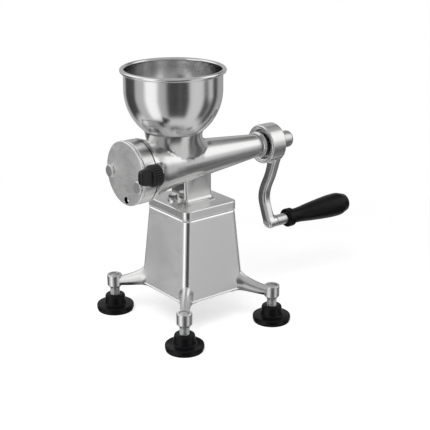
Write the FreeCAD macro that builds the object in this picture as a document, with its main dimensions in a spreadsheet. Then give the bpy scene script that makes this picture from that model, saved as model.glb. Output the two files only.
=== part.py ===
import FreeCAD, Part
import math
import os
import re

import Sketcher

# Hand crank grinder: a tapered pedestal on four levelling feet carries a cast grinder body with a
# bowl on top, a closed outlet head at the front and a crank with a turning grip at the back.
# X runs along the feed screw from the outlet head (-) to the crank (+), Z is up, and the clamp knob
# stands on the -Y side. Lengths are millimetres, angles degrees. The origin is on the counter under
# the middle of the whole object.

SIZES = [
    ("foot_spacing_x", 132, "feet: distance between foot centres along the screw"),
    ("foot_spacing_y", 146, "feet: distance between foot centres across the screw"),
    ("sole_radius", 22, "feet: rubber sole"),
    ("sole_thickness", 2.5, "feet: rubber sole"),
    ("pad_radius", 23, "feet: moulded pad"),
    ("pad_rim", 5.5, "feet: height of the pad's disc"),
    ("bell_base_radius", 13.4, "feet: lower end of the pad's bell"),
    ("bell_top_radius", 12, "feet: upper end of the pad's bell"),
    ("bell_height", 13, "feet: height of the pad's bell"),
    ("stud_radius", 6, "feet: crest of the stud thread"),
    ("stud_pitch", 1.75, "feet: stud thread"),
    ("stud_flange_radius", 9, "feet: captive flange at the stud's lower end"),
    ("stud_flange", 3, "feet: thickness of the captive flange"),
    ("stud_plain", 12.5, "feet: plain length below the stud thread"),
    ("stud_gap", 9.5, "feet: bare thread between pad and leg"),
    ("boss_radius", 9.2, "legs: threaded boss"),
    ("boss_height", 16.5, "legs: threaded boss"),
    ("leg_turn", 51, "legs: angle away from the screw direction, in plan"),
    ("leg_reach", 46, "legs: from the boss to the hidden inner end"),
    ("leg_middle", 22, "legs: from the boss to the middle section"),
    ("leg_root_width", 21, "legs: width at the pedestal"),
    ("leg_width", 12, "legs: width of the middle section"),
    ("leg_root_height", 27, "legs: height at the hidden inner end"),
    ("leg_height", 15, "legs: height of the middle section"),
    ("leg_rise", 9.5, "legs: from the boss underside to the shell's lower edge"),
    ("shell_height", 101, "pedestal: shell"),
    ("shell_base_x", 91, "pedestal: shell length at its lower edge"),
    ("shell_base_y", 93, "pedestal: shell width at its lower edge"),
    ("shell_top_x", 74.8, "pedestal: shell length under the cap"),
    ("shell_top_y", 79.6, "pedestal: shell width under the cap"),
    ("shell_corner", 7.5, "pedestal: rounding of the upright corners"),
    ("shell_wall", 2.5, "pedestal: shell wall"),
    ("cap_x", 76, "pedestal: cap length"),
    ("cap_y", 80.8, "pedestal: cap width"),
    ("cap_height", 11, "pedestal: cap"),
    ("cap_plate", 4, "pedestal: thickness of the cap's top"),
    ("cap_wall", 11, "pedestal: thickness of the cap's sides and of the shell's top flange"),
    ("block_width", 25, "pedestal: clamping block in each lower corner"),
    ("block_height", 15, "pedestal: clamping block in each lower corner"),
    ("block_depth", 17, "pedestal: clamping block, inwards along the leg from the shell's side"),
    ("leg_screw_radius", 2.5, "pedestal: screw through block and shell into each leg"),
    ("leg_screw_head_radius", 4.5, "pedestal: head of the leg screw"),
    ("leg_screw_head", 4, "pedestal: head of the leg screw"),
    ("cap_screw_radius", 2, "pedestal: screw through the flange into the cap"),
    ("cap_screw_head_radius", 3.6, "pedestal: head of the cap screw"),
    ("cap_screw_head", 2.8, "pedestal: head of the cap screw"),
    ("cap_screw_grip", 5.5, "pedestal: length of the cap screw inside the cap"),
    ("post_screw_radius", 3, "body: screws through the cap into the post, and bolt through the tongue"),
    ("post_screw_head_radius", 5, "body: head of the post screws"),
    ("post_screw_head", 4.5, "body: head of the post screws"),
    ("post_screw_grip", 16, "body: length of the post screws inside the post"),
    ("post_height", 48, "body: from the cap to the screw axis"),
    ("post_front", 20, "body: front face of the post, from the pedestal's middle"),
    ("post_rear", 19, "body: rear face of the post, from the pedestal's middle"),
    ("post_width", 30, "body: width of the post"),
    ("post_flare", 6.5, "body: how far the post's foot spreads"),
    ("post_foot", 1, "body: thickness of the post's foot at its edge"),
    ("post_hollow", 6, "body: hollow curve from the post to its foot"),
    ("tongue_reach", 34, "body: front end of the bolted tongue, from the pedestal's middle"),
    ("tongue_width", 18, "body: bolted tongue"),
    ("tongue_height", 5, "body: bolted tongue"),
    ("barrel_front", 74, "body: front face, from the pedestal's middle"),
    ("barrel_rear", 100, "body: rear face, from the pedestal's middle"),
    ("barrel_front_radius", 37, "body: outside at the front face"),
    ("barrel_middle_radius", 26.1, "body: outside below the bowl"),
    ("barrel_rear_radius", 14, "body: outside at the rear face"),
    ("throat_place", 25, "body: bowl axis, from the pedestal's middle"),
    ("neck_height", 40, "body: neck top above the screw axis"),
    ("neck_radius", 34.2, "body: neck at its top"),
    ("neck_foot_front", 37, "body: front end of the neck at the screw axis, from the bowl axis"),
    ("neck_foot_rear", 52, "body: rear end of the neck at the screw axis, from the bowl axis"),
    ("neck_foot_y", 20, "body: half width of the neck at the screw axis"),
    ("throat_radius", 17, "body: opening from the bowl into the barrel"),
    ("throat_ledge", 27, "body: ledge under the bowl, above the screw axis"),
    ("plate_ledge", 1.8, "body: ledge of the front face under the hole plate's rim"),
    ("bore_rear_radius", 19, "body: feed chamber at its rear wall"),
    ("bowl_radius", 57, "bowl: outside of the upright wall"),
    ("bowl_wall", 1.2, "bowl: sheet thickness"),
    ("bowl_straight", 22, "bowl: upright part under the rim"),
    ("bowl_round", 48, "bowl: height of the rounded part"),
    ("bowl_seat_radius", 34.2, "bowl: outside where it meets the neck"),
    ("bowl_spout_radius", 19.8, "bowl: outside of the lower edge"),
    ("bowl_lift", 0.6, "bowl: where its curve starts, above the neck's top"),
    ("bead_radius", 2.6, "bowl: rolled rim"),
    ("seal_thickness", 1.5, "bowl: seal ring under the lower edge"),
    ("gasket", 0.8, "head: thickness of each gasket"),
    ("ring_radius", 37.1, "head: clamping ring outside"),
    ("ring_depth", 14.4, "head: clamping ring"),
    ("plate_seat", 6.3, "head: seat of the hole plate around the outlet chamber"),
    ("ring_wall", 6.3, "head: wall of the clamping ring around the hole plate"),
    ("plate_thickness", 5.2, "head: hole plate"),
    ("plate_hole_radius", 2.3, "head: holes of the plate"),
    ("cover_lip", 0.5, "head: edge of the front cover beyond the ring"),
    ("cover_depth", 4, "head: front cover"),
    ("chute_width", 20, "head: outlet at the underside"),
    ("cover_screw_place", 8.6, "head: cover screws, inward from the ring's rim"),
    ("cover_screw_drop", 6, "head: cover screws, below the axis"),
    ("cover_screw_turn", 6, "head: tilt of the line through both cover screws"),
    ("cover_screw_head", 7.6, "head: radius of the button screw heads"),
    ("cover_screw_height", 3.2, "head: height of the button screw heads"),
    ("cover_screw_radius", 2.5, "head: shank of the cover screws"),
    ("cover_hole_radius", 4.2, "head: small hole low in the cover"),
    ("cover_hole_drop", 6.1, "head: small hole, inward from the ring's rim"),
    ("ear_place", 12.5, "clamp: knob axis, sideways from the ring's rim"),
    ("ear_lift", 9, "clamp: knob axis above the screw axis"),
    ("ear_radius", 6.5, "clamp: rounded end of the ears"),
    ("ring_ear", 2.4, "clamp: thickness of the ring's ear"),
    ("ear_step", 3.9, "clamp: from the ring's rear face to its ear"),
    ("ear_run", 12, "clamp: length of the body's ear behind the front face"),
    ("ear_root", 27, "clamp: where the body's ear runs into the barrel, sideways from the screw axis"),
    ("clamp_stud_radius", 2.5, "clamp: stud"),
    ("clamp_stud_length", 22, "clamp: stud"),
    ("clamp_stud_seat", 2.9, "clamp: depth of the stud in the body's ear"),
    ("clamp_washer", 1.2, "clamp: thickness of the washer"),
    ("knob_radius", 12.4, "clamp: knob"),
    ("knob_rim", 12.2, "clamp: ridged part of the knob"),
    ("knob_wing", 12.4, "clamp: height of the knob's grip bar"),
    ("knob_bar", 12, "clamp: thickness of the knob's grip bar"),
    ("knob_height", 21, "clamp: length of the knob's grip bar across the knob"),
    ("knob_insert", 4.8, "clamp: radius of the threaded insert"),
    ("hook_width", 16, "clamp: hook on the far side"),
    ("hook_reach", 10.9, "clamp: outer face of the hook, outward from the ring's rim"),
    ("hook_run", 10, "clamp: length of the hook behind the front face"),
    ("ring_tab", 5, "clamp: thickness of the ring's tab under the hook"),
    ("shaft_radius", 7, "screw: journal"),
    ("bush_wall", 3, "screw: wall of both bushes"),
    ("bush_length", 18, "screw: length of both bushes"),
    ("bush_flange_radius", 16.5, "screw: flange of the rear bush"),
    ("bush_flange", 4, "screw: flange of the rear bush"),
    ("shaft_seal_radius", 12, "screw: shaft seal"),
    ("shaft_seal_depth", 4, "screw: shaft seal"),
    ("core_radius", 9.5, "screw: core of the feed screw"),
    ("flight_pitch", 22, "screw: flight"),
    ("flight_thickness", 3.5, "screw: flight"),
    ("flight_clearance", 0.6, "screw: gap between flight and feed chamber"),
    ("knife_thickness", 5.8, "screw: cross knife"),
    ("knife_gap", 2, "screw: gap between the knife's tips and the feed chamber"),
    ("knife_blade", 9, "screw: blade width of the cross knife"),
    ("knife_square", 10, "screw: square that drives the knife"),
    ("pilot_radius", 4, "screw: front pilot in the hole plate"),
    ("thrust_washer", 1.6, "crank: thrust washer"),
    ("hub_radius", 24.3, "crank: hub"),
    ("hub_depth", 22.8, "crank: hub"),
    ("hub_recess", 2.4, "crank: recess in the hub's front face"),
    ("hub_square", 10, "crank: square on the shaft"),
    ("crank_radius", 106.5, "crank: from the shaft to the grip"),
    ("arm_width", 12.6, "crank: arm in its plane"),
    ("arm_thickness", 11.4, "crank: arm along the shaft"),
    ("arm_bend", 48, "crank: bend radius of the arm"),
    ("arm_lean", 21, "crank: lean of the arm where the bend starts"),
    ("arm_end", 24, "crank: straight length beside the grip"),
    ("arm_start", 38, "crank: straight length into the hub"),
    ("arm_straight", 10, "crank: straight inner edge, from the bend to the widening"),
    ("arm_flare", 120, "crank: hollow curve where the arm widens into the hub"),
    ("arm_sweep", 19, "crank: turn of that curve"),
    ("arm_eye", 7.7, "crank: radius of the arm's end around the spindle"),
    ("arm_boss", 4, "crank: boss around the spindle, behind the arm"),
    ("arm_edge", 2.6, "crank: rounding of the arm's edges"),
    ("pin_cover", 3, "crank: metal left in front of the spindle's bore"),
    ("nut_radius", 10.7, "crank: cap nut"),
    ("nut_length", 24.4, "crank: cap nut"),
    ("nut_washer", 1.5, "crank: washer under the cap nut"),
    ("nut_thread", 5, "crank: threaded end of the shaft"),
    ("pin_radius", 5, "grip: spindle"),
    ("pin_shoulder_radius", 7.2, "grip: shoulder of the spindle"),
    ("pin_shoulder", 22, "grip: length of the shoulder"),
    ("grip_length", 106, "grip: moulded handle"),
    ("grip_collar", 12, "grip: collar radius"),
    ("grip_neck", 9.5, "grip: neck radius"),
    ("grip_bulge", 15.3, "grip: largest radius"),
    ("plug_radius", 7.5, "grip: end plug"),
]

FIT_GAP = "0.03"
RUN_GAP = "0.06"
LOOSE_GAP = "0.3"
STUD_TURNS = 16
KNOB_RIDGES = 26

ALIASES = {alias for alias, value, meaning in SIZES}

# Heights of the stacked pieces above the counter.
PAD_TOP = "(sole_thickness + pad_rim + bell_height)"
BOSS_BOTTOM = f"({PAD_TOP} + stud_gap)"
SHELL_BOTTOM = f"({BOSS_BOTTOM} + leg_rise)"
SHELL_TOP = f"({SHELL_BOTTOM} + shell_height)"
CAP_TOP = f"({SHELL_TOP} + cap_height)"
AXIS = f"({CAP_TOP} + post_height)"

# Radii of the outlet head, all taken from the ring's rim.
PLATE_RADIUS = "(ring_radius - ring_wall)"
BORE_RADIUS = f"({PLATE_RADIUS} - plate_ledge)"
KNIFE_REACH = f"({BORE_RADIUS} - knife_gap)"
CHAMBER_RADIUS = f"({PLATE_RADIUS} - plate_seat)"
COVER_RADIUS = "(ring_radius + cover_lip)"
COVER_SCREW_PLACE = "(ring_radius - cover_screw_place)"
COVER_HOLE_DROP = "(ring_radius - cover_hole_drop)"
EAR_PLACE = "(ring_radius + ear_place)"
HOOK_REACH = "(ring_radius + hook_reach)"

# Places along the screw, measured from the pedestal's middle.
BODY_FRONT = "(-barrel_front)"
RING_REAR = "(-barrel_front - gasket)"
RING_FRONT = f"({RING_REAR} - ring_depth)"
COVER_REAR = f"({RING_FRONT} - gasket)"
COVER_FRONT = f"({COVER_REAR} - cover_depth)"
EAR_FRONT = f"({RING_REAR} - ear_step + {LOOSE_GAP})"
WASHER_BACK = f"({RING_REAR} - ear_step - ring_ear)"
KNOB_BACK = f"({WASHER_BACK} - clamp_washer)"
KNOB_FRONT = f"({KNOB_BACK} - knob_rim - knob_wing)"
THRUST_FRONT = "(barrel_rear + bush_flange + 0.2)"
HUB_FRONT = f"({THRUST_FRONT} + thrust_washer + 0.2)"
HUB_REAR = f"({HUB_FRONT} + hub_depth)"
ARM_FRONT = f"({HUB_REAR} - arm_thickness)"
NUT_FRONT = f"({HUB_REAR} + nut_washer)"
GRIP_FRONT = f"({HUB_REAR} + pin_shoulder + 0.2)"
GRIP_REAR = f"({GRIP_FRONT} + grip_length)"
MIDDLE = f"((-{KNOB_FRONT} - {GRIP_REAR}) / 2)"

doc = FreeCAD.newDocument("grinder")
sheet = doc.addObject("Spreadsheet::Sheet", "Sizes")
for row, (alias, value, meaning) in enumerate(SIZES, 1):
    sheet.set(f"A{row}", meaning)
    sheet.set(f"B{row}", str(value))
    sheet.setAlias(f"B{row}", alias)
doc.recompute()

nodes = []


def linked(text):
    """The same arithmetic with every size name pointing at its cell."""
    def cell(match):
        word = match.group()
        return "Sizes." + word if word in ALIASES else word

    return re.sub(r"[a-z_]+", cell, text)


def number(text):
    """Present value of an arithmetic text."""
    return float(sheet.evalExpression(linked(str(text))))


def bind(item, prop, text):
    """Ties one property to an arithmetic text."""
    item.setExpression(prop, linked(str(text)))


def place(item, x="0", y="0", z="0"):
    """Puts an object at a place given as arithmetic texts, X from the pedestal's middle."""
    bind(item, "Placement.Base.x", f"{MIDDLE} + {x}")
    bind(item, "Placement.Base.y", y)
    bind(item, "Placement.Base.z", z)
    return item


def keep(item, label):
    """Marks a finished object as one piece of the object."""
    item.Label = label
    nodes.append(item)
    return item


def new_body(name):
    return doc.addObject("PartDesign::Body", name)


def new_sketch(body, plane, lift="0"):
    """A sketch on one of the body's base planes, lifted along the plane's normal."""
    sketch = body.newObject("Sketcher::SketchObject", body.Name + "_sketch")
    base = next(item for item in body.Origin.OriginFeatures if item.Role == plane + "_Plane")
    sketch.AttachmentSupport = [(base, "")]
    sketch.MapMode = "FlatFace"
    bind(sketch, "AttachmentOffset.Base.z", lift)
    return sketch


def tie(sketch, geometry, point, x, y):
    """Holds one point of a sketch at its distances from the sketch's origin."""
    for kind, text in (("DistanceX", x), ("DistanceY", y)):
        index = sketch.addConstraint(Sketcher.Constraint(kind, -1, 1, geometry, point, number(text)))
        bind(sketch, f"Constraints[{index}]", text)


def outline(sketch, corners):
    """Closed outline through corners (x, y) or (x, y, radius, side).

    A corner with a radius starts an arc to the next corner; side is 1 where the arc's centre lies to
    the left of the way from corner to corner and -1 where it lies to the right.
    """
    starts = []
    for index, corner in enumerate(corners):
        after = corners[(index + 1) % len(corners)]
        start = FreeCAD.Vector(number(corner[0]), number(corner[1]), 0)
        end = FreeCAD.Vector(number(after[0]), number(after[1]), 0)
        if len(corner) == 2:
            starts.append((sketch.addGeometry(Part.LineSegment(start, end)), 1))
            continue
        radius, side = number(corner[2]), corner[3]
        chord = end - start
        across = FreeCAD.Vector(-chord.y, chord.x, 0).normalize()
        depth = math.sqrt(max(radius ** 2 - chord.Length ** 2 / 4, 0))
        centre = (start + end) / 2 + across * (side * depth)
        first, last = (start, end) if side > 0 else (end, start)
        angles = [math.atan2(point.y - centre.y, point.x - centre.x) for point in (first, last)]
        circle = Part.Circle(centre, FreeCAD.Vector(0, 0, 1), radius)
        arc = sketch.addGeometry(Part.ArcOfCircle(circle, angles[0], angles[1]))
        starts.append((arc, 1 if side > 0 else 2))
    for index, (edge, own) in enumerate(starts):
        after, point = starts[(index + 1) % len(starts)]
        sketch.addConstraint(Sketcher.Constraint("Coincident", edge, 3 - own, after, point))
    for (edge, own), corner in zip(starts, corners):
        tie(sketch, edge, own, corner[0], corner[1])
        if len(corner) > 2:
            index = sketch.addConstraint(Sketcher.Constraint("Radius", edge, number(corner[2])))
            bind(sketch, f"Constraints[{index}]", corner[2])
    return sketch


def rounded_box(length, width, radius):
    """Corners of a rectangle about the origin with rounded corners, for outline()."""
    a, b = f"({length}) / 2", f"({width}) / 2"
    c, d = f"({a} - ({radius}))", f"({b} - ({radius}))"
    return [(c, f"-({b})", radius, 1), (a, f"-{d}"), (a, d, radius, 1), (c, b),
            (f"-{c}", b, radius, 1), (f"-({a})", d), (f"-({a})", f"-{d}", radius, 1), (f"-{c}", f"-({b})")]


def circles(sketch, rounds):
    """Full circles (x, y, radius)."""
    for x, y, radius in rounds:
        centre = FreeCAD.Vector(number(x), number(y), 0)
        index = sketch.addGeometry(Part.Circle(centre, FreeCAD.Vector(0, 0, 1), number(radius)))
        tie(sketch, index, 3, x, y)
        held = sketch.addConstraint(Sketcher.Constraint("Radius", index, number(radius)))
        bind(sketch, f"Constraints[{held}]", radius)
    return sketch


def turn(body, axis, corners, kind="Revolution"):
    """Turns a profile about X or Z; corners are (along, radius) for X and (radius, along) for Z."""
    sketch = outline(new_sketch(body, "XZ"), corners)
    feature = body.newObject("PartDesign::" + kind, body.Name + "_turn")
    feature.Profile = sketch
    feature.ReferenceAxis = (sketch, ["H_Axis" if axis == "X" else "V_Axis"])
    feature.Angle = 360
    return feature


def turned(name, axis, corners):
    """A new body turned from one profile."""
    body = new_body(name)
    turn(body, axis, corners)
    return body


def pad(body, sketch, length, reverse=False):
    feature = body.newObject("PartDesign::Pad", body.Name + "_pad")
    feature.Profile = sketch
    feature.Reversed = reverse
    bind(feature, "Length", length)
    return feature


def pocket(body, sketch, length=None, reverse=False):
    """Cuts a sketch to a depth, or right through both ways when no depth is given."""
    feature = body.newObject("PartDesign::Pocket", body.Name + "_pocket")
    feature.Profile = sketch
    feature.Reversed = reverse
    if length is None:
        feature.Type = "ThroughAll"
        feature.SideType = "Symmetric"
    else:
        bind(feature, "Length", length)
    return feature


def loft(body, sketches, kind="AdditiveLoft", straight=True):
    feature = body.newObject("PartDesign::" + kind, body.Name + "_loft")
    feature.Profile = sketches[0]
    feature.Sections = sketches[1:]
    feature.Ruled = straight
    return feature


def dress(body, kind, size, chosen):
    """Rounds or chamfers the edges of the body's last feature that a test chooses."""
    doc.recompute()
    last = body.Tip
    names = [f"Edge{i}" for i, edge in enumerate(last.Shape.Edges, 1) if chosen(edge)]
    feature = body.newObject("PartDesign::" + kind, body.Name + "_dress")
    feature.Base = (last, names)
    bind(feature, "Radius" if kind == "Fillet" else "Size", size)
    return feature


def boolean(kind, name, base, tools):
    """Cuts or joins whole objects."""
    if kind == "Cut":
        tool = tools[0] if len(tools) == 1 else boolean("MultiFuse", name + "_tools", None, tools)
        item = doc.addObject("Part::Cut", name)
        item.Base = base
        item.Tool = tool
        return item
    item = doc.addObject("Part::" + kind, name)
    if kind == "MultiFuse":
        item.Shapes = tools if base is None else [base] + tools
    elif kind == "Common":
        item.Base = base
        item.Tool = tools[0]
    return item


def group(name, members):
    """Several equal solids kept as one piece."""
    item = doc.addObject("Part::Compound", name)
    item.Links = members
    return item


def ring_of(name, inner, outer, thickness):
    """A flat washer about X, from its front face."""
    return turned(name, "X", [("0", inner), (thickness, inner), (thickness, outer), ("0", outer)])


# Levelling feet: rubber sole, moulded pad and a threaded stud held captive in the pad.
def make_foot(corner, sx, sy):
    at = (f"{sx} * foot_spacing_x / 2", f"{sy} * foot_spacing_y / 2")
    sole = turned("sole_" + corner, "Z", [("0", "0"), ("sole_radius - 0.6", "0"), ("sole_radius", "0.6"),
                                          ("sole_radius", "sole_thickness"), ("0", "sole_thickness")])
    keep(place(sole, *at), "foot_sole_" + corner)
    top = "pad_rim + bell_height"
    cavity = f"stud_flange_radius + {LOOSE_GAP}"
    hole = f"stud_radius + {LOOSE_GAP}"
    ceiling = "stud_flange + 1"
    profile = [(cavity, "0"), ("pad_radius - 0.8", "0"), ("pad_radius", "0.8"),
               ("pad_radius", "pad_rim - 1.4", "1.4", 1), ("pad_radius - 1.4", "pad_rim"),
               ("bell_base_radius", "pad_rim + 0.9"), ("bell_top_radius", f"{top} - 3", "3", 1),
               ("bell_top_radius - 3", top), (hole, top), (hole, ceiling), (cavity, ceiling)]
    keep(place(turned("pad_" + corner, "Z", profile), *at, "sole_thickness"), "foot_pad_" + corner)
    root = "stud_radius - 1"
    start = "(stud_flange + stud_plain)"
    profile = [("0", "0"), ("stud_flange_radius", "0"), ("stud_flange_radius", "stud_flange"),
               ("stud_radius", "stud_flange"), ("stud_radius", f"{start} - 0.6")]
    for thread in range(STUD_TURNS):
        profile.append((root, f"{start} + {thread} * stud_pitch"))
        profile.append(("stud_radius", f"{start} + {thread + 0.5} * stud_pitch"))
    profile += [(root, f"{start} + {STUD_TURNS} * stud_pitch"), ("0", f"{start} + {STUD_TURNS} * stud_pitch")]
    keep(place(turned("stud_" + corner, "Z", profile), *at, "sole_thickness + 0.4"), "foot_stud_" + corner)


# Legs: a ridge falling from each pedestal corner to an upright threaded boss.
def tombstone(body, lift, bottom, height, width):
    """Section of a leg: flat below, fully rounded above."""
    half = f"({width}) / 2"
    shoulder = f"({bottom}) + ({height}) - {half}"
    corners = [(f"-({half})", bottom), (half, bottom), (half, shoulder, half, 1),
               ("0", f"({bottom}) + ({height})", half, 1), (f"-({half})", shoulder)]
    return outline(new_sketch(body, "YZ", lift), corners)


def turn_to(item, sx, sy):
    """Faces a leg's own X outwards over its corner."""
    angle = "leg_turn" if sx > 0 else "180 - leg_turn"
    item.Placement.Rotation = FreeCAD.Rotation(FreeCAD.Vector(0, 0, 1), 1)
    bind(item, "Placement.Rotation.Angle", f"({angle}) * {sy}")
    return item


def leg_place(item, sx, sy, lift="0"):
    return place(turn_to(item, sx, sy), f"{sx} * foot_spacing_x / 2", f"{sy} * foot_spacing_y / 2",
                 f"{BOSS_BOTTOM} + {lift}")


LEG_SCREW_HOLE = "leg_screw_radius + 0.05"


def make_leg(corner, sx, sy, shell_block):
    body = new_body("leg_blank_" + corner)
    sections = [tombstone(body, "-leg_reach", "leg_rise + 1.5", "leg_root_height", "leg_root_width"),
                tombstone(body, "-leg_middle", "leg_rise - 3", "leg_height", "leg_width"),
                tombstone(body, "-boss_radius / 2", "3.5", "boss_height - 5.5", "leg_width - 1.5")]
    loft(body, sections, straight=False)
    turn(body, "Z", [("0", "0"), ("boss_radius - 2.2", "0"), ("boss_radius", "2.6"),
                     ("boss_radius", "boss_height - 1.2"), ("boss_radius - 1.2", "boss_height"),
                     ("0", "boss_height")])
    pocket(body, circles(new_sketch(body, "XY"), [("0", "0", "stud_radius + 0.1")]))
    screw_hole = circles(new_sketch(body, "YZ", "-leg_reach"), [("0", "block_height", LEG_SCREW_HOLE)])
    pocket(body, screw_hole, "leg_reach - boss_radius - 6", reverse=True)
    leg_place(body, sx, sy)
    keep(boolean("Cut", "leg_cut_" + corner, body, [shell_block]), "leg_" + corner)


CORNERS = [("front_left", -1, 1), ("front_right", -1, -1), ("rear_left", 1, 1), ("rear_right", 1, -1)]


def tapered_box(name, inset, below, above):
    """The pedestal's tapered block, drawn in by an inset, from below to above the shell's lower edge."""
    body = new_body(name)
    sections = []
    for lift in (below, above):
        share = f"(({lift}) / shell_height)"
        length = f"(shell_base_x + (shell_top_x - shell_base_x) * {share} - 2 * ({inset}))"
        width = f"(shell_base_y + (shell_top_y - shell_base_y) * {share} - 2 * ({inset}))"
        sections.append(outline(new_sketch(body, "XY", lift),
                                rounded_box(length, width, f"shell_corner - 0.7 * ({inset})")))
    loft(body, sections)
    return place(body, "0", "0", SHELL_BOTTOM)


for corner, sx, sy in CORNERS:
    make_foot(corner, sx, sy)
leg_block = tapered_box("leg_block", "-0.02", "-12", "shell_height")
for corner, sx, sy in CORNERS:
    make_leg(corner, sx, sy, leg_block)

# Pedestal: tapered sheet shell with an inward flange on top, clamped between the legs and four blocks.
shell = tapered_box("shell_blank", "0", "0", "shell_height")
hollow = tapered_box("shell_hollow", "shell_wall", "-1", "shell_height - shell_wall")
window = new_body("shell_window")
window_size = ("cap_x - 2 * cap_wall", "cap_y - 2 * cap_wall", "4")
pad(window, outline(new_sketch(window, "XY"), rounded_box(*window_size)), "20")
place(window, "0", "0", f"{SHELL_TOP} - 10")
cap_screw_spots = [(f"{sx} * (cap_x / 2 - cap_wall + 3.2)", f"{sy} * cap_y / 3.4")
                   for sx in (-1, 1) for sy in (-1, 1)]


def upright_holes(name, spots, radius, bottom, height):
    """Round tools along Z at several spots."""
    body = new_body(name)
    pad(body, circles(new_sketch(body, "XY"), [(x, y, radius) for x, y in spots]), height)
    return place(body, "0", "0", bottom)


cap_screw_holes = upright_holes("cap_screw_holes", cap_screw_spots, "cap_screw_radius + 0.05",
                                f"{SHELL_TOP} - 10", "16")
bolt_spot = [("-tongue_reach + 6.5", "0")]
bolt_hole = upright_holes("bolt_hole", bolt_spot, "post_screw_radius + 0.05", f"{SHELL_TOP} - 10", "40")
BLOCK_BACK = ("(max((foot_spacing_x - shell_base_x) / 2 / cos(leg_turn);"
              " (foot_spacing_y - shell_base_y) / 2 / sin(leg_turn)) + block_depth)")
leg_screw_tools = []
for corner, sx, sy in CORNERS:
    tool = turned("leg_screw_hole_" + corner, "X", [(f"-{BLOCK_BACK} - 15", "0"), ("-10", "0"),
                                                   ("-10", LEG_SCREW_HOLE),
                                                   (f"-{BLOCK_BACK} - 15", LEG_SCREW_HOLE)])
    leg_screw_tools.append(leg_place(tool, sx, sy, "block_height"))
keep(boolean("Cut", "shell_cut", shell, [hollow, window, cap_screw_holes, bolt_hole] + leg_screw_tools),
     "pedestal_shell")

# Clamping blocks: one in each lower corner inside the shell, tapped through by the leg screw.
block_room = tapered_box("block_room", "shell_wall + 0.05", "-5", "shell_height - 10")
blocks = []
for corner, sx, sy in CORNERS:
    body = new_body("block_" + corner)
    box = [(f"-{BLOCK_BACK}", "-block_width / 2"), ("-20", "-block_width / 2"), ("-20", "block_width / 2"),
           (f"-{BLOCK_BACK}", "block_width / 2")]
    pad(body, outline(new_sketch(body, "XY"), box), "block_height")
    hole = circles(new_sketch(body, "YZ", f"-{BLOCK_BACK} - 1"), [("0", "block_height / 2", LEG_SCREW_HOLE)])
    pocket(body, hole, BLOCK_BACK, reverse=True)
    leg_place(body, sx, sy, "block_height / 2")
    blocks.append(boolean("Common", "block_fit_" + corner, body, [block_room]))
keep(group("blocks", blocks), "corner_blocks")

screws = []
for corner, sx, sy in CORNERS:
    screw = turned("leg_screw_" + corner, "X", [
        (f"-{BLOCK_BACK} - leg_screw_head", "0"),
        (f"-{BLOCK_BACK} - leg_screw_head", "0.8 * leg_screw_head_radius"),
        (f"-{BLOCK_BACK} - 0.75 * leg_screw_head", "leg_screw_head_radius"),
        (f"-{BLOCK_BACK}", "leg_screw_head_radius"), (f"-{BLOCK_BACK}", "leg_screw_radius"),
        ("-boss_radius - 8", "leg_screw_radius"), ("-boss_radius - 8", "0")])
    screws.append(leg_place(screw, sx, sy, "block_height"))
keep(group("leg_screws", screws), "leg_screws")

# Cap: a thick-sided lid screwed to the shell's flange from inside.
cap = new_body("cap_blank")
pad(cap, outline(new_sketch(cap, "XY"), rounded_box("cap_x", "cap_y", "shell_corner")), "cap_height")
dress(cap, "Chamfer", "0.9", lambda edge: abs(edge.BoundBox.ZMin - edge.BoundBox.ZMax) < 0.01)
pocket(cap, outline(new_sketch(cap, "XY"), rounded_box(*window_size)), "cap_height - cap_plate", reverse=True)
place(cap, "0", "0", SHELL_TOP)
post_screw_spots = [("8", "-post_width / 4"), ("8", "post_width / 4")]
post_screw_holes = upright_holes("post_screw_holes", post_screw_spots, "post_screw_radius + 0.05",
                                 f"{SHELL_TOP} + 2", "cap_height + post_screw_grip + 3")
keep(boolean("Cut", "cap_cut", cap, [cap_screw_holes, bolt_hole, post_screw_holes]), "pedestal_cap")


def headed_screw(name, head_radius, head, radius, length):
    """A screw standing head down, its head's upper face at height zero."""
    bevel = f"0.14 * {head_radius}"
    return turned(name, "Z", [("0", f"-{head}"), (f"{head_radius} - {bevel}", f"-{head}"),
                              (head_radius, f"-{head} + {bevel}"), (head_radius, "0"), (radius, "0"),
                              (radius, length), ("0", length)])


members = []
for index, (x, y) in enumerate(cap_screw_spots):
    screw = headed_screw(f"cap_screw_{index}", "cap_screw_head_radius", "cap_screw_head", "cap_screw_radius",
                         "shell_wall + cap_screw_grip")
    members.append(place(screw, x, y, f"{SHELL_TOP} - shell_wall"))
keep(group("cap_screws", members), "cap_screws")
members = []
for index, (x, y) in enumerate(post_screw_spots):
    screw = headed_screw(f"post_screw_{index}", "post_screw_head_radius", "post_screw_head",
                         "post_screw_radius", "cap_plate + post_screw_grip")
    members.append(place(screw, x, y, f"{CAP_TOP} - cap_plate"))
keep(group("post_screws", members), "post_screws")

# Grinder body: barrel, neck, post, clamp ear and hook cast in one piece, hollowed for screw and bowl.
FLARE = "(barrel_front_radius - barrel_middle_radius)"
FLARE_RUN = "(barrel_front - 3 - throat_place)"
flare = [(f"-throat_place - {run} * {FLARE_RUN}", f"barrel_middle_radius + {rise} * {FLARE}")
         for run, rise in ((0, 0), (0.37, 0.23), (0.7, 0.56), (1, 1))]
barrel = turned("barrel", "X", [("-barrel_front", "0"), ("barrel_rear", "0"),
                                ("barrel_rear", "barrel_rear_radius")]
                + flare + [("-barrel_front", "barrel_front_radius")])
place(barrel, "0", "0", AXIS)
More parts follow.
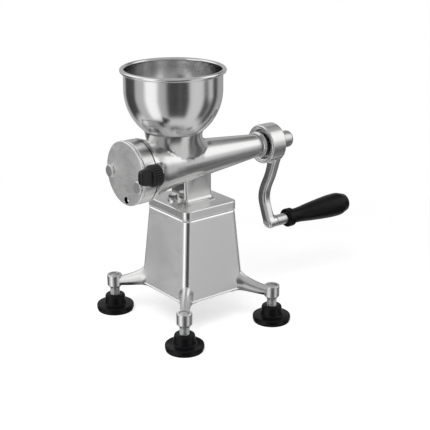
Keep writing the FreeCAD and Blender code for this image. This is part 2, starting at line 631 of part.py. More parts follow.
# The neck's sections from the bowl down: share of the height, front and rear end, half width, side radius.
NECK_LEVELS = [
    ("1", "neck_radius", "neck_radius", "neck_radius", "neck_radius"),
    ("0.75", "neck_radius + 0.2", "neck_radius + 1.8", "0.8 * neck_radius + 0.2 * neck_foot_y",
     "neck_radius + 2"),
    ("0.45", "neck_radius + 1.3", "neck_foot_rear - 3", "0.5 * neck_radius + 0.5 * neck_foot_y",
     "neck_radius + 16"),
    ("0", "neck_foot_front", "neck_foot_rear", "neck_foot_y", "3 * neck_radius")]
neck = new_body("neck")
neck_sections = []
for share, front, rear, width, radius in NECK_LEVELS:
    corners = [(rear, "0", radius, 1), ("0", width, radius, 1), (f"-({front})", "0", radius, 1),
               ("0", f"-({width})", radius, 1)]
    neck_sections.append(outline(new_sketch(neck, "XY", f"{share} * neck_height"), corners))
loft(neck, neck_sections, straight=False)
place(neck, "-throat_place", "0", AXIS)


def ear_outline(body, lift, reach):
    """Side tab with a rounded end, from inside the head to its reach beside the axis."""
    low, high = "(ear_lift - ear_radius)", "(ear_lift + ear_radius)"
    corners = [("-15", low), ("-15", high), (f"-{reach}", high, "ear_radius", 1),
               (f"-{reach} - ear_radius", "ear_lift", "ear_radius", 1), (f"-{reach}", low)]
    return outline(new_sketch(body, "YZ", lift), corners)


ear_blank = new_body("ear_blank")
loft(ear_blank, [ear_outline(ear_blank, f"{EAR_FRONT} - {BODY_FRONT}", EAR_PLACE),
                 ear_outline(ear_blank, "ear_run", "ear_root")])
place(ear_blank, BODY_FRONT, "0", AXIS)
ring_room = turned("ring_room", "X", [("-20", "0"), ("0", "0"), ("0", "ring_radius + 0.5"),
                                      ("-20", "ring_radius + 0.5")])
place(ring_room, BODY_FRONT, "0", AXIS)
ear = boolean("Cut", "ear", ear_blank, [ring_room])
hook = new_body("hook")
LIP_BACK = f"({RING_REAR} - ring_tab - {LOOSE_GAP})"
TAB_REACH = f"({HOOK_REACH} - 5)"
hook_shape = [("-barrel_front + hook_run", "20"), ("-barrel_front + hook_run", HOOK_REACH),
              (f"{LIP_BACK} - 4", HOOK_REACH), (f"{LIP_BACK} - 4", "ring_radius + 0.8"),
              (LIP_BACK, "ring_radius + 0.8"), (LIP_BACK, f"{TAB_REACH} + {LOOSE_GAP}"),
              ("-barrel_front", f"{TAB_REACH} + {LOOSE_GAP}"), ("-barrel_front", "20")]
pad(hook, outline(new_sketch(hook, "XY", "-hook_width / 2"), hook_shape), "hook_width")
place(hook, "0", "0", AXIS)
trunk = boolean("MultiFuse", "trunk", None, [barrel, ear, hook, neck])
trunk.Refine = True
post = new_body("post")
post_middle = "(post_rear - post_front) / 2"
post_length = "(post_front + post_rear)"
pad(post, outline(new_sketch(post, "XY"), rounded_box(post_length, "post_width", "3")), "post_height")
foot_box = rounded_box(f"{post_length} + 2 * post_flare", "post_width + 2 * post_flare", "3 + post_flare")
pad(post, outline(new_sketch(post, "XY"), foot_box), "post_foot")
foot_level, half_x, half_y = (number(size) for size in ("post_foot", f"{post_length} / 2", "post_width / 2"))
dress(post, "Fillet", "post_hollow", lambda edge: abs(edge.BoundBox.ZMin - foot_level) < 0.01
      and abs(edge.BoundBox.ZMax - foot_level) < 0.01
      and max(edge.BoundBox.XMax, -edge.BoundBox.XMin) <= half_x + 0.01
      and max(edge.BoundBox.YMax, -edge.BoundBox.YMin) <= half_y + 0.01)
place(post, post_middle, "0", CAP_TOP)
tongue = new_body("tongue")
tongue_end = "(-tongue_reach + tongue_width / 2)"
tongue_shape = [("-post_front + 2", "-tongue_width / 2"), ("-post_front + 2", "tongue_width / 2"),
                (tongue_end, "tongue_width / 2", "tongue_width / 2", 1),
                ("-tongue_reach", "0", "tongue_width / 2", 1), (tongue_end, "-tongue_width / 2")]
pad(tongue, outline(new_sketch(tongue, "XY"), tongue_shape), "tongue_height")
place(tongue, "0", "0", CAP_TOP)
casting = boolean("MultiFuse", "casting", None, [trunk, post, tongue])
BUSH_RADIUS = "(shaft_radius + bush_wall)"
bore = turned("bore", "X", [
    ("-barrel_front - 5", "0"), ("barrel_rear + 5", "0"), ("barrel_rear + 5", f"{BUSH_RADIUS} + {FIT_GAP}"),
    ("barrel_rear - bush_length", f"{BUSH_RADIUS} + {FIT_GAP}"),
    ("barrel_rear - bush_length", "shaft_radius + 1.5"),
    ("shaft_seal_depth + bush_length", "shaft_radius + 1.5"),
    ("shaft_seal_depth + bush_length", f"{BUSH_RADIUS} + {FIT_GAP}"),
    ("shaft_seal_depth", f"{BUSH_RADIUS} + {FIT_GAP}"),
    ("shaft_seal_depth", f"shaft_seal_radius + {FIT_GAP}"),
    ("0", f"shaft_seal_radius + {FIT_GAP}"), ("0", "bore_rear_radius"),
    ("-barrel_front", BORE_RADIUS),
    ("-barrel_front - 5", BORE_RADIUS)])
place(bore, "0", "0", AXIS)
throat = turned("throat", "Z", [
    ("0", "0"), ("throat_radius", "0"), ("throat_radius", "throat_ledge"),
    ("bowl_spout_radius + 0.2", "throat_ledge"), ("bowl_spout_radius + 0.2", "throat_ledge + seal_thickness"),
    ("neck_radius - 0.6", "neck_height"), ("neck_radius - 0.6", "neck_height + 5"), ("0", "neck_height + 5")])
place(throat, "-throat_place", "0", AXIS)
ear_hole = turned("ear_hole", "X", [("-5", "0"), ("clamp_stud_seat", "0"),
                                    ("clamp_stud_seat", f"clamp_stud_radius + {FIT_GAP}"),
                                    ("-5", f"clamp_stud_radius + {FIT_GAP}")])
place(ear_hole, EAR_FRONT, f"-{EAR_PLACE}", f"{AXIS} + ear_lift")
plate_pin_hole = turned("plate_pin_hole", "X", [("-20", "0"), ("5", "0"), ("5", "1.03"), ("-20", "1.03")])
PLATE_PIN_LIFT = f"({PLATE_RADIUS} - 1.4)"
place(plate_pin_hole, BODY_FRONT, "0", f"{AXIS} + {PLATE_PIN_LIFT}")
keep(boolean("Cut", "body_cut", casting, [bore, throat, ear_hole, plate_pin_hole, bolt_hole,
                                          post_screw_holes]),
     "grinder_body")

# Bolt through tongue, cap and flange with a washer above and a nut below.
BOLT_X = bolt_spot[0][0]
washer = turned("bolt_washer", "Z", [("3.2", "0"), ("5.6", "0"), ("5.6", "1.2"), ("3.2", "1.2")])
keep(place(washer, BOLT_X, "0", f"{CAP_TOP} + tongue_height"), "tongue_washer")
bolt = new_body("tongue_bolt_blank")
hexagon = [(f"5.2 * cos({30 + 60 * i})", f"5.2 * sin({30 + 60 * i})") for i in range(6)]
pad(bolt, outline(new_sketch(bolt, "XY"), hexagon), "4.2")
BOLT_LENGTH = "(1.2 + tongue_height + cap_height + shell_wall + 7)"
pad(bolt, circles(new_sketch(bolt, "XY"), [("0", "0", "post_screw_radius")]), BOLT_LENGTH, reverse=True)
keep(place(bolt, BOLT_X, "0", f"{CAP_TOP} + tongue_height + 1.2"), "tongue_bolt")
nut = new_body("tongue_nut_blank")
pad(nut, outline(new_sketch(nut, "XY"), hexagon), "5")
pocket(nut, circles(new_sketch(nut, "XY"), [("0", "0", "post_screw_radius + 0.02")]))
keep(place(nut, BOLT_X, "0", f"{SHELL_TOP} - shell_wall - 5"), "tongue_nut")

# Bowl: spun sheet with a rolled rim, standing in the neck on a seal ring.
BOWL_SINK = "(bowl_radius - bowl_seat_radius)"
BOWL_CURVE = f"((bowl_round ^ 2 + {BOWL_SINK} ^ 2) / (2 * {BOWL_SINK}))"
SEAT = "(neck_height - throat_ledge - seal_thickness + bowl_lift)"
SHOULDER = f"({SEAT} + bowl_round)"
BEAD = f"({SHOULDER} + bowl_straight)"
INNER_SHARE = f"(1 - bowl_wall / {BOWL_CURVE})"
inner_radius = f"(bowl_radius - {BOWL_CURVE} + ({BOWL_CURVE} - {BOWL_SINK}) * {INNER_SHARE})"
inner_height = f"({SHOULDER} - bowl_round * {INNER_SHARE})"
bead_middle = "(bowl_radius - bowl_wall + bead_radius)"
bead_drop = "sqrt(bead_radius ^ 2 - (bead_radius - bowl_wall) ^ 2)"
bowl = turned("bowl", "Z", [
    ("bowl_spout_radius", "0"), ("bowl_seat_radius", SEAT, BOWL_CURVE, 1), ("bowl_radius", SHOULDER),
    ("bowl_radius", f"{BEAD} - {bead_drop}", "bead_radius", 1),
    (f"{bead_middle} + bead_radius", BEAD, "bead_radius", 1),
    (bead_middle, f"{BEAD} + bead_radius", "bead_radius", 1), (f"{bead_middle} - bead_radius", BEAD),
    ("bowl_radius - bowl_wall", SHOULDER, f"{BOWL_CURVE} - bowl_wall", -1), (inner_radius, inner_height),
    ("bowl_spout_radius - bowl_wall * 1.35", "0")])
SPOUT = f"({AXIS} + throat_ledge + seal_thickness)"
keep(place(bowl, "-throat_place", "0", SPOUT), "hopper_bowl")
seal = turned("bowl_seal", "Z", [("throat_radius + 0.2", "0"), ("bowl_spout_radius", "0"),
                                 ("bowl_spout_radius", "seal_thickness"),
                                 ("throat_radius + 0.2", "seal_thickness")])
keep(place(seal, "-throat_place", "0", f"{AXIS} + throat_ledge"), "hopper_seal")

# Outlet head: gasket, clamping ring with the hole plate, gasket, and the closed cover.
cover_screw_spots = [(f"{side} * {COVER_SCREW_PLACE} * cos(cover_screw_turn)",
                      f"{side} * {COVER_SCREW_PLACE} * sin(cover_screw_turn) - cover_screw_drop")
                     for side in (-1, 1)]
CHUTE = [("-chute_width / 2", "-60"), ("chute_width / 2", "-60"), ("chute_width / 2", "-8"),
         ("-chute_width / 2", "-8")]


def screw_circles(gap):
    return [(y, z, f"cover_screw_radius + {gap}") for y, z in cover_screw_spots]


gasket = ring_of("body_gasket_blank", f"{PLATE_RADIUS} + 0.4", "ring_radius - 1", "gasket")
keep(place(gasket, RING_REAR, "0", AXIS), "body_gasket")
ring = new_body("ring")
turn(ring, "X", [("0", "0"), ("0", "ring_radius - 0.6"), ("-0.6", "ring_radius"),
                 ("-ring_depth + 0.6", "ring_radius"), ("-ring_depth", "ring_radius - 0.6"),
                 ("-ring_depth", "0")])
pad(ring, ear_outline(ring, "-ear_step", EAR_PLACE), "ring_ear", reverse=True)
tab = [("20", "-hook_width / 2 + 2"), (TAB_REACH, "-hook_width / 2 + 2"), (TAB_REACH, "hook_width / 2 - 2"),
       ("20", "hook_width / 2 - 2")]
pad(ring, outline(new_sketch(ring, "YZ"), tab), "ring_tab", reverse=True)
SEAT_DEPTH = "(plate_thickness - gasket)"
turn(ring, "X", [("1", "0"), ("1", f"{PLATE_RADIUS} + {LOOSE_GAP}"),
                 (f"-{SEAT_DEPTH}", f"{PLATE_RADIUS} + {LOOSE_GAP}"),
                 (f"-{SEAT_DEPTH}", CHAMBER_RADIUS), ("-ring_depth - 1", CHAMBER_RADIUS),
                 ("-ring_depth - 1", "0")], kind="Groove")
SLOT_RADIUS = f"(clamp_stud_radius + {LOOSE_GAP})"
slot = [(f"-{EAR_PLACE} - 20", f"ear_lift - {SLOT_RADIUS}"),
        (f"-{EAR_PLACE}", f"ear_lift - {SLOT_RADIUS}", SLOT_RADIUS, 1),
        (f"-{EAR_PLACE} + {SLOT_RADIUS}", "ear_lift", SLOT_RADIUS, 1),
        (f"-{EAR_PLACE}", f"ear_lift + {SLOT_RADIUS}"),
        (f"-{EAR_PLACE} - 20", f"ear_lift + {SLOT_RADIUS}")]
pocket(ring, outline(new_sketch(ring, "YZ"), slot))
pocket(ring, circles(new_sketch(ring, "YZ", "-ring_depth"), screw_circles("0.03")),
       f"ring_depth - {SEAT_DEPTH} - 0.5", reverse=True)
pocket(ring, outline(new_sketch(ring, "YZ", "-ring_depth - 1"), CHUTE), f"ring_depth + 1 - {SEAT_DEPTH}",
       reverse=True)
keep(place(ring, RING_REAR, "0", AXIS), "head_ring")

plate = new_body("plate")
plate_holes = [("0", "0", f"pilot_radius + {RUN_GAP}"), ("0", PLATE_PIN_LIFT, "1.03")]
for count, radius in ((8, "9"), (14, "15"), (20, "21")):
    plate_holes += [(f"{radius} * cos({360 * i / count:.4f})", f"{radius} * sin({360 * i / count:.4f})",
                     "plate_hole_radius") for i in range(count)]
pad(plate, circles(new_sketch(plate, "YZ"), [("0", "0", PLATE_RADIUS)] + plate_holes), "plate_thickness",
    reverse=True)
keep(place(plate, BODY_FRONT, "0", AXIS), "hole_plate")
plate_pin = turned("plate_pin_blank", "X", [("-plate_thickness", "0"), ("4.5", "0"), ("4.5", "1"),
                                            ("-plate_thickness", "1")])
keep(place(plate_pin, BODY_FRONT, "0", f"{AXIS} + {PLATE_PIN_LIFT}"), "plate_pin")

cover_gasket = new_body("cover_gasket_blank")
pad(cover_gasket, circles(new_sketch(cover_gasket, "YZ"),
                          [("0", "0", f"{COVER_RADIUS} - 1"), ("0", "0", CHAMBER_RADIUS)]
                          + screw_circles("0.2")), "gasket", reverse=True)
pocket(cover_gasket, outline(new_sketch(cover_gasket, "YZ"), CHUTE))
keep(place(cover_gasket, RING_FRONT, "0", AXIS), "cover_gasket")

cover = turned("cover", "X", [
    ("0", "0"), ("0", f"{COVER_RADIUS} - 0.5"), ("-0.5", COVER_RADIUS), ("-cover_depth + 0.9", COVER_RADIUS),
    ("-cover_depth", f"{COVER_RADIUS} - 0.9"), ("-cover_depth", "0")])
pocket(cover, circles(new_sketch(cover, "YZ"), screw_circles("0.1")))
pocket(cover, circles(new_sketch(cover, "YZ"), [("-2", f"-{COVER_HOLE_DROP}", "cover_hole_radius")]))
keep(place(cover, COVER_REAR, "0", AXIS), "front_cover")

members = []
ROUND = "(0.4 * cover_screw_height)"
for index, (y, z) in enumerate(cover_screw_spots):
    screw = turned(f"cover_screw_{index}", "X", [
        ("-cover_screw_height", "0"), ("-cover_screw_height", f"cover_screw_head - {ROUND}", ROUND, -1),
        (f"-cover_screw_height + {ROUND}", "cover_screw_head"), ("0", "cover_screw_head"),
        ("0", "cover_screw_radius"), ("cover_depth + gasket + 5", "cover_screw_radius"),
        ("cover_depth + gasket + 5", "0")])
    members.append(place(screw, COVER_FRONT, y, f"{AXIS} + {z}"))
keep(group("cover_screws", members), "cover_screws")

# Clamp: a stud in the body's ear, a washer, and a winged knob with a threaded insert.
clamp_stud = turned("clamp_stud_blank", "X", [("0", "0"), ("0", "clamp_stud_radius"),
                                              ("-clamp_stud_length + 1", "clamp_stud_radius"),
                                              ("-clamp_stud_length", "clamp_stud_radius - 1"),
                                              ("-clamp_stud_length", "0")])
keep(place(clamp_stud, f"{EAR_FRONT} + clamp_stud_seat", f"-{EAR_PLACE}", f"{AXIS} + ear_lift"), "clamp_stud")
clamp_washer = ring_of("clamp_washer_blank", f"clamp_stud_radius + {LOOSE_GAP}", "ear_radius + 1",
                       "clamp_washer")
keep(place(clamp_washer, KNOB_BACK, f"-{EAR_PLACE}", f"{AXIS} + ear_lift"), "clamp_washer")
INSERT_DEPTH = "(knob_rim + 3)"
knob_insert = ring_of("knob_insert_blank", "clamp_stud_radius + 0.1", "knob_insert", INSERT_DEPTH)
keep(place(knob_insert, f"{KNOB_BACK} - {INSERT_DEPTH} - 0.05", f"-{EAR_PLACE}", f"{AXIS} + ear_lift"),
     "knob_insert")
knob = new_body("knob")
turn(knob, "X", [("-0.05", "0"), ("-0.05", "knob_radius - 1"), ("-1", "knob_radius"),
                 ("-knob_rim + 1.6", "knob_radius"), ("-knob_rim", "knob_radius - 1.6"), ("-knob_rim", "0")])
groove = pocket(knob, circles(new_sketch(knob, "YZ"), [("0", "knob_radius + 0.2", "0.9")]), "knob_rim")
ridges = knob.newObject("PartDesign::PolarPattern", "ridges")
ridges.Originals = [groove]
ridges.Axis = (next(item for item in knob.Origin.OriginFeatures if item.Role == "X_Axis"), [""])
ridges.Angle = 360
ridges.Occurrences = KNOB_RIDGES
knob.Tip = ridges
wing = [outline(new_sketch(knob, "YZ", lift),
                rounded_box(f"knob_bar - {slim}", f"knob_height - 2 * {slim}", "3"))
        for lift, slim in (("-knob_rim + 0.5", "0"), ("-knob_rim - knob_wing", "3"))]
loft(knob, wing)
wing_end = -number("knob_rim + knob_wing")
dress(knob, "Fillet", "2", lambda edge: abs(edge.BoundBox.XMin - wing_end) < 0.01
      and abs(edge.BoundBox.XMax - wing_end) < 0.01)
pocket(knob, circles(new_sketch(knob, "YZ"), [("0", "0", f"knob_insert + {FIT_GAP}")]),
       f"{INSERT_DEPTH} + 2.5")
keep(place(knob, KNOB_BACK, f"-{EAR_PLACE}", f"{AXIS} + ear_lift"), "clamp_knob")

# Feed screw: conical core and flight, knife square and pilot in front, journal and crank square behind.
KNIFE_REAR = "(-barrel_front + 0.2 + knife_thickness)"
CORE_FRONT = f"({KNIFE_REAR} + 0.05)"
PILOT_FRONT = "(-barrel_front - plate_thickness)"
SQUARE_REAR = f"({HUB_REAR} - 0.6)"
THREAD_REAR = f"({NUT_FRONT} + nut_length - 6)"
feed = new_body("feed")
turn(feed, "X", [
    (PILOT_FRONT, "0"), (PILOT_FRONT, "pilot_radius - 0.5"), (f"{PILOT_FRONT} + 0.5", "pilot_radius"),
    ("-barrel_front + 0.2", "pilot_radius"), ("-barrel_front + 0.2", "3.5"), (CORE_FRONT, "3.5"),
    (CORE_FRONT, "core_radius + 1"), ("-1", "core_radius"), ("-1", "shaft_radius"),
    (HUB_FRONT, "shaft_radius"), (HUB_FRONT, "nut_thread"), (f"{THREAD_REAR} - 1", "nut_thread"),
    (THREAD_REAR, "nut_thread - 1"), (THREAD_REAR, "0")])


def square(side):
    return [(f"-({side}) / 2", f"-({side}) / 2"), (f"({side}) / 2", f"-({side}) / 2"),
            (f"({side}) / 2", f"({side}) / 2"), (f"-({side}) / 2", f"({side}) / 2")]


pad(feed, outline(new_sketch(feed, "YZ", f"{CORE_FRONT} + 2"), square("knife_square")),
    "knife_thickness + 2.05", reverse=True)
pad(feed, outline(new_sketch(feed, "YZ", HUB_FRONT), square("hub_square")), f"{SQUARE_REAR} - {HUB_FRONT}")
flight_section = [("-4", "core_radius - 2"), ("-4", f"{BORE_RADIUS} + 1"),
                  ("-4 - flight_thickness", f"{BORE_RADIUS} + 1"),
                  ("-4 - flight_thickness", "core_radius - 2")]
flight = feed.newObject("PartDesign::AdditiveHelix", "flight")
flight.Profile = outline(new_sketch(feed, "XZ"), flight_section)
flight.ReferenceAxis = (flight.Profile[0], ["H_Axis"])
flight.Mode = "pitch-height-angle"
flight.Reversed = True
flight.Angle = 0
bind(flight, "Pitch", "flight_pitch")
bind(flight, "Height", f"-{CORE_FRONT} - 8 - flight_thickness")
SLOPE = f"(({BORE_RADIUS} - bore_rear_radius) / barrel_front)"
CLEAR = "bore_rear_radius - flight_clearance"
turn(feed, "X", [("6", f"{CLEAR} - 6 * {SLOPE}"), ("6", "70"), ("-barrel_front - 6", "70"),
                 ("-barrel_front - 6", f"{CLEAR} + (barrel_front + 6) * {SLOPE}")], kind="Groove")
keep(place(feed, "0", "0", AXIS), "feed_screw")

knife = new_body("knife")
half, far = "knife_blade / 2", KNIFE_REACH
cross = [(far, f"-{half}"), (far, half), (half, half), (half, far), (f"-{half}", far), (f"-{half}", half),
         (f"-{far}", half), (f"-{far}", f"-{half}"), (f"-{half}", f"-{half}"), (f"-{half}", f"-{far}"),
         (half, f"-{far}"), (half, f"-{half}")]
pad(knife, outline(new_sketch(knife, "YZ"), cross), "knife_thickness")
pad(knife, circles(new_sketch(knife, "YZ"), [("0", "0", "knife_square")]), "knife_thickness")
pocket(knife, outline(new_sketch(knife, "YZ"), square("knife_square + 0.1")))
keep(place(knife, "-barrel_front + 0.2", "0", AXIS), "cross_knife")

shaft_seal = ring_of("shaft_seal_blank", f"shaft_radius + {RUN_GAP}", "shaft_seal_radius", "shaft_seal_depth")
keep(place(shaft_seal, "0", "0", AXIS), "shaft_seal")
inner_bush = ring_of("inner_bush_blank", f"shaft_radius + {RUN_GAP}", BUSH_RADIUS, "bush_length")
keep(place(inner_bush, "shaft_seal_depth", "0", AXIS), "inner_bush")
rear_bush = turned("rear_bush_blank", "X", [
    ("-bush_length", f"shaft_radius + {RUN_GAP}"), ("bush_flange", f"shaft_radius + {RUN_GAP}"),
    ("bush_flange", "bush_flange_radius - 1"), ("bush_flange - 1", "bush_flange_radius"),
    ("0", "bush_flange_radius"),
    ("0", BUSH_RADIUS), ("-bush_length", BUSH_RADIUS)])
keep(place(rear_bush, "barrel_rear", "0", AXIS), "rear_bush")

# Crank: hub with a bent arm, fixed on the shaft's square by a washer and a round cap nut.
thrust = ring_of("thrust_washer_blank", "shaft_radius + 0.1", "bush_flange_radius - 2", "thrust_washer")
keep(place(thrust, THRUST_FRONT, "0", AXIS), "thrust_washer")
crank = new_body("crank")
SIN, COS = "sin(arm_lean)", "cos(arm_lean)"
BEND_Y = f"(arm_end * {SIN} - arm_bend * {COS})"
BEND_Z = f"(arm_bend * {SIN} + arm_end * {COS} - crank_radius)"


def beside(offset, start, along):
    """Point beside the arm's middle line: at the bend's upper or lower end, moved straight on."""
    sign = 1 if start else -1
    radius = f"(arm_bend + ({offset}))"
    y = f"{BEND_Y} + {radius} * {COS} - ({along}) * {SIN}"
    z = f"{BEND_Z} + {sign} * {radius} * {SIN} + {sign} * ({along}) * {COS}"
    return y, z


HALF_ARM = "arm_width / 2"
flare_y, flare_z = beside(f"-{HALF_ARM}", True, "arm_straight")
arm_outline = [
    (f"{flare_y} + arm_flare * (cos(arm_lean + arm_sweep) - {COS})",
     f"{flare_z} + arm_flare * (sin(arm_lean + arm_sweep) - {SIN})", "arm_flare", -1), (flare_y, flare_z),
    (*beside(f"-{HALF_ARM}", True, "0"), f"arm_bend - {HALF_ARM}", -1),
    beside(f"-{HALF_ARM}", False, "0"), (*beside(f"-{HALF_ARM}", False, "arm_end"), HALF_ARM, 1),
    (*beside("0", False, f"arm_end + {HALF_ARM}"), HALF_ARM, 1), beside(HALF_ARM, False, "arm_end"),
    (*beside(HALF_ARM, False, "0"), f"arm_bend + {HALF_ARM}", 1),
    beside(HALF_ARM, True, "0"), beside(HALF_ARM, True, "arm_start")]
pad(crank, outline(new_sketch(crank, "YZ"), arm_outline), "arm_thickness", reverse=True)
dress(crank, "Fillet", "arm_edge", lambda edge: edge.BoundBox.XMax - edge.BoundBox.XMin < 0.01
      and edge.BoundBox.ZMin < -number("arm_start") + 5)
turn(crank, "X", [("-hub_depth + hub_recess", "0"), ("-hub_depth + hub_recess", "hub_radius - 4"),
                  ("-hub_depth", "hub_radius - 3.4"), ("-hub_depth", "hub_radius - 1.2"),
                  ("-hub_depth + 1.2", "hub_radius"), ("-1.2", "hub_radius"), ("0", "hub_radius - 1.2"),
                  ("0", "0")])
pocket(crank, outline(new_sketch(crank, "YZ"), square("hub_square + 0.06")))
GRIP_AXIS = f"({AXIS} - crank_radius)"
PIN_END = "(-arm_thickness + pin_cover)"
eye = turned("crank_eye", "X", [
    ("-arm_thickness", "0"), ("-arm_thickness", "arm_eye - arm_edge", "arm_edge", -1),
    ("-arm_thickness + arm_edge", "arm_eye"), ("-arm_edge", "arm_eye"),
    ("0.15 * arm_boss", "pin_shoulder_radius"), ("arm_boss", "pin_shoulder_radius"), ("arm_boss", "0")])
pin_bore = turned("pin_bore", "X", [
    (PIN_END, "0"), (PIN_END, f"pin_radius + {FIT_GAP}"), ("arm_boss + 1", f"pin_radius + {FIT_GAP}"),
    ("arm_boss + 1", "0")])
place(crank, HUB_REAR, "0", AXIS)
place(eye, HUB_REAR, "0", GRIP_AXIS)
place(pin_bore, HUB_REAR, "0", GRIP_AXIS)
crank_blank = boolean("MultiFuse", "crank_blank", None, [crank, eye])
keep(boolean("Cut", "crank_drilled", crank_blank, [pin_bore]), "crank_arm")
crank_washer = ring_of("crank_washer_blank", "nut_thread + 0.1", "nut_radius + 0.6", "nut_washer")
keep(place(crank_washer, HUB_REAR, "0", AXIS), "crank_washer")
crank_nut = turned("crank_nut_blank", "X", [
    ("0", "nut_thread + 0.03"), ("0", "nut_radius - 0.8"), ("0.8", "nut_radius"),
    ("nut_length - 6", "nut_radius", "6", -1),
    ("nut_length", "nut_radius - 6"), ("nut_length", "0"), ("nut_length - 5", "0"),
    ("nut_length - 5", "nut_thread + 0.03")])
keep(place(crank_nut, NUT_FRONT, "0", AXIS), "crank_nut")

# Grip: a spindle pressed into the arm's eye, a moulded handle turning on it, a clip and an end plug.
CLIP = "(grip_length - 24)"
PIN_SPAN = "(pin_shoulder + 0.2 + grip_length)"
handle_pin = turned("handle_pin_blank", "X", [
    (PIN_END, "0"), (PIN_END, "pin_radius"), ("arm_boss", "pin_radius"),
    ("arm_boss", "pin_shoulder_radius"),
    ("pin_shoulder - 0.6", "pin_shoulder_radius"), ("pin_shoulder", "pin_shoulder_radius - 0.6"),
    ("pin_shoulder", "pin_radius"), (f"pin_shoulder + 0.2 + {CLIP} + 0.3", "pin_radius"),
    (f"pin_shoulder + 0.2 + {CLIP} + 0.3", "pin_radius - 1"),
    (f"pin_shoulder + 0.2 + {CLIP} + 1.7", "pin_radius - 1"),
    (f"pin_shoulder + 0.2 + {CLIP} + 1.7", "pin_radius"), (f"pin_shoulder + 0.2 + {CLIP} + 5", "pin_radius"),
    (f"pin_shoulder + 0.2 + {CLIP} + 5", "0")])
keep(place(handle_pin, HUB_REAR, "0", GRIP_AXIS), "handle_pin")
clip = ring_of("grip_clip_blank", "pin_radius - 0.97", "pin_radius + 1.6", "1.2")
keep(place(clip, f"{GRIP_FRONT} + {CLIP} + 0.4", "0", GRIP_AXIS), "grip_clip")
WELL = "plug_radius + 0.03"
grip = turned("grip", "X", [
    ("0", f"pin_radius + {RUN_GAP}"), ("0", "grip_collar - 1.6", "1.6", -1), ("1.6", "grip_collar"),
    ("7.4", "grip_collar", "1.6", -1), ("9", "grip_collar - 1.6"), ("10", "grip_neck + 0.2"),
    ("15", "grip_neck", "170", 1), ("0.4 * grip_length", "grip_neck + 2.6", "320", -1),
    ("0.78 * grip_length", "grip_bulge", "60", -1), ("0.93 * grip_length", "grip_bulge - 1.8", "9", -1),
    ("grip_length", "plug_radius + 1"), ("grip_length", WELL), (CLIP, WELL),
    (CLIP, f"pin_radius + {RUN_GAP}")])
keep(place(grip, GRIP_FRONT, "0", GRIP_AXIS), "handle_grip")
plug = turned("grip_plug_blank", "X", [("grip_length - 12", "0"), ("grip_length - 12", "plug_radius"),
                                       ("grip_length - 0.6", "plug_radius"),
                                       ("grip_length", "plug_radius - 0.6"),
                                       ("grip_length", "0")])
keep(place(plug, GRIP_FRONT, "0", GRIP_AXIS), "grip_plug")

doc.recompute()
for item in doc.Objects:
    if "Invalid" in item.State or "Error" in item.State:
        raise SystemExit(f"{item.Label} did not build: {item.State}")
os.makedirs("parts", exist_ok=True)
for item in nodes:
    if item.Shape.isNull() or not item.Shape.isValid() or not item.Shape.Solids:
        raise SystemExit(f"{item.Label} has no sound solid")
    item.Shape.exportStep(f"parts/{item.Label}.step")
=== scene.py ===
import math

import bmesh
import bpy
import numpy as np
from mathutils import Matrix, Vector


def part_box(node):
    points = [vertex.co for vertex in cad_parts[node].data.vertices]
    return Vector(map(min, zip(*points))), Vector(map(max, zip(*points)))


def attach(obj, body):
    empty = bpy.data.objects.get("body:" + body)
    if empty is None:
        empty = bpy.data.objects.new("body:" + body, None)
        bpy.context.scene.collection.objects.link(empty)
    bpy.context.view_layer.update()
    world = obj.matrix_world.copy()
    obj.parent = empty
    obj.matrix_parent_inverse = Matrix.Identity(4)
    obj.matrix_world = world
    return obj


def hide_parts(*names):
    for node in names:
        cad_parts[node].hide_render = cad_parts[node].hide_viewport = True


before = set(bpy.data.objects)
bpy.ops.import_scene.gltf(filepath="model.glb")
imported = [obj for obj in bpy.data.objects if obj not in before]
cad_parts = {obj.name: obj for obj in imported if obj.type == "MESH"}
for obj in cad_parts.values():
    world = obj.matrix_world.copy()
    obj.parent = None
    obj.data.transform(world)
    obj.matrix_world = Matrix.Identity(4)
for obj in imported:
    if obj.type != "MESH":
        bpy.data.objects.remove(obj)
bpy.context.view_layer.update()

# Rubber soles: a flat disc under each levelling foot.
# Black nitrile rubber, glued under the moulded foot, a little narrower than its rim.
MM = 0.001
shell_low, shell_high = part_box("pedestal_shell")
MIDDLE = np.array([(shell_low.x + shell_high.x) / 2, 0, 0])
CORNERS = {"front_left": (-1, 1), "front_right": (-1, -1), "rear_left": (1, 1), "rear_right": (1, -1)}
FOOT_X, FOOT_Y, SOLE_RADIUS, SOLE = 66, 73, 22, 2.5
NEARLY_STRAIGHT, SUPPORT = 1.55, 0.12


def rounded(corners, steps=6):
    """Open outline through corners (a, b, radius), each corner an arc that touches both its sides.

    The arc's centre lies on the corner's bisector at radius / sin(half angle). A support point stands
    just outside each end of an arc, so that the flats beside it stay flat when shaded smooth.
    """
    spots = np.array([corner[:2] for corner in corners], float)
    line = [spots[:1]]
    for before, (a, b, radius), after in zip(spots[:-2], corners[1:-1], spots[2:]):
        spot = np.array([a, b], float)
        back, on = before - spot, after - spot
        back, on = back / np.linalg.norm(back), on / np.linalg.norm(on)
        half = math.acos(np.clip(back @ on, -1, 1)) / 2
        if radius == 0 or half > NEARLY_STRAIGHT:
            line.append(spot[None])
            continue
        run = radius / math.tan(half)
        middle = spot + (back + on) / np.linalg.norm(back + on) * radius / math.sin(half)
        share = np.linspace(0, 1, steps + 1)[:, None]
        first, last = spot + back * run - middle, spot + on * run - middle
        sweep = math.pi - 2 * half
        arc = (np.sin((1 - share) * sweep) * first + np.sin(share * sweep) * last) / math.sin(sweep)
        support = run + SUPPORT * run
        line += [[spot + back * support], middle + arc, [spot + on * support]]
    return np.vstack(line + [spots[-1:]])


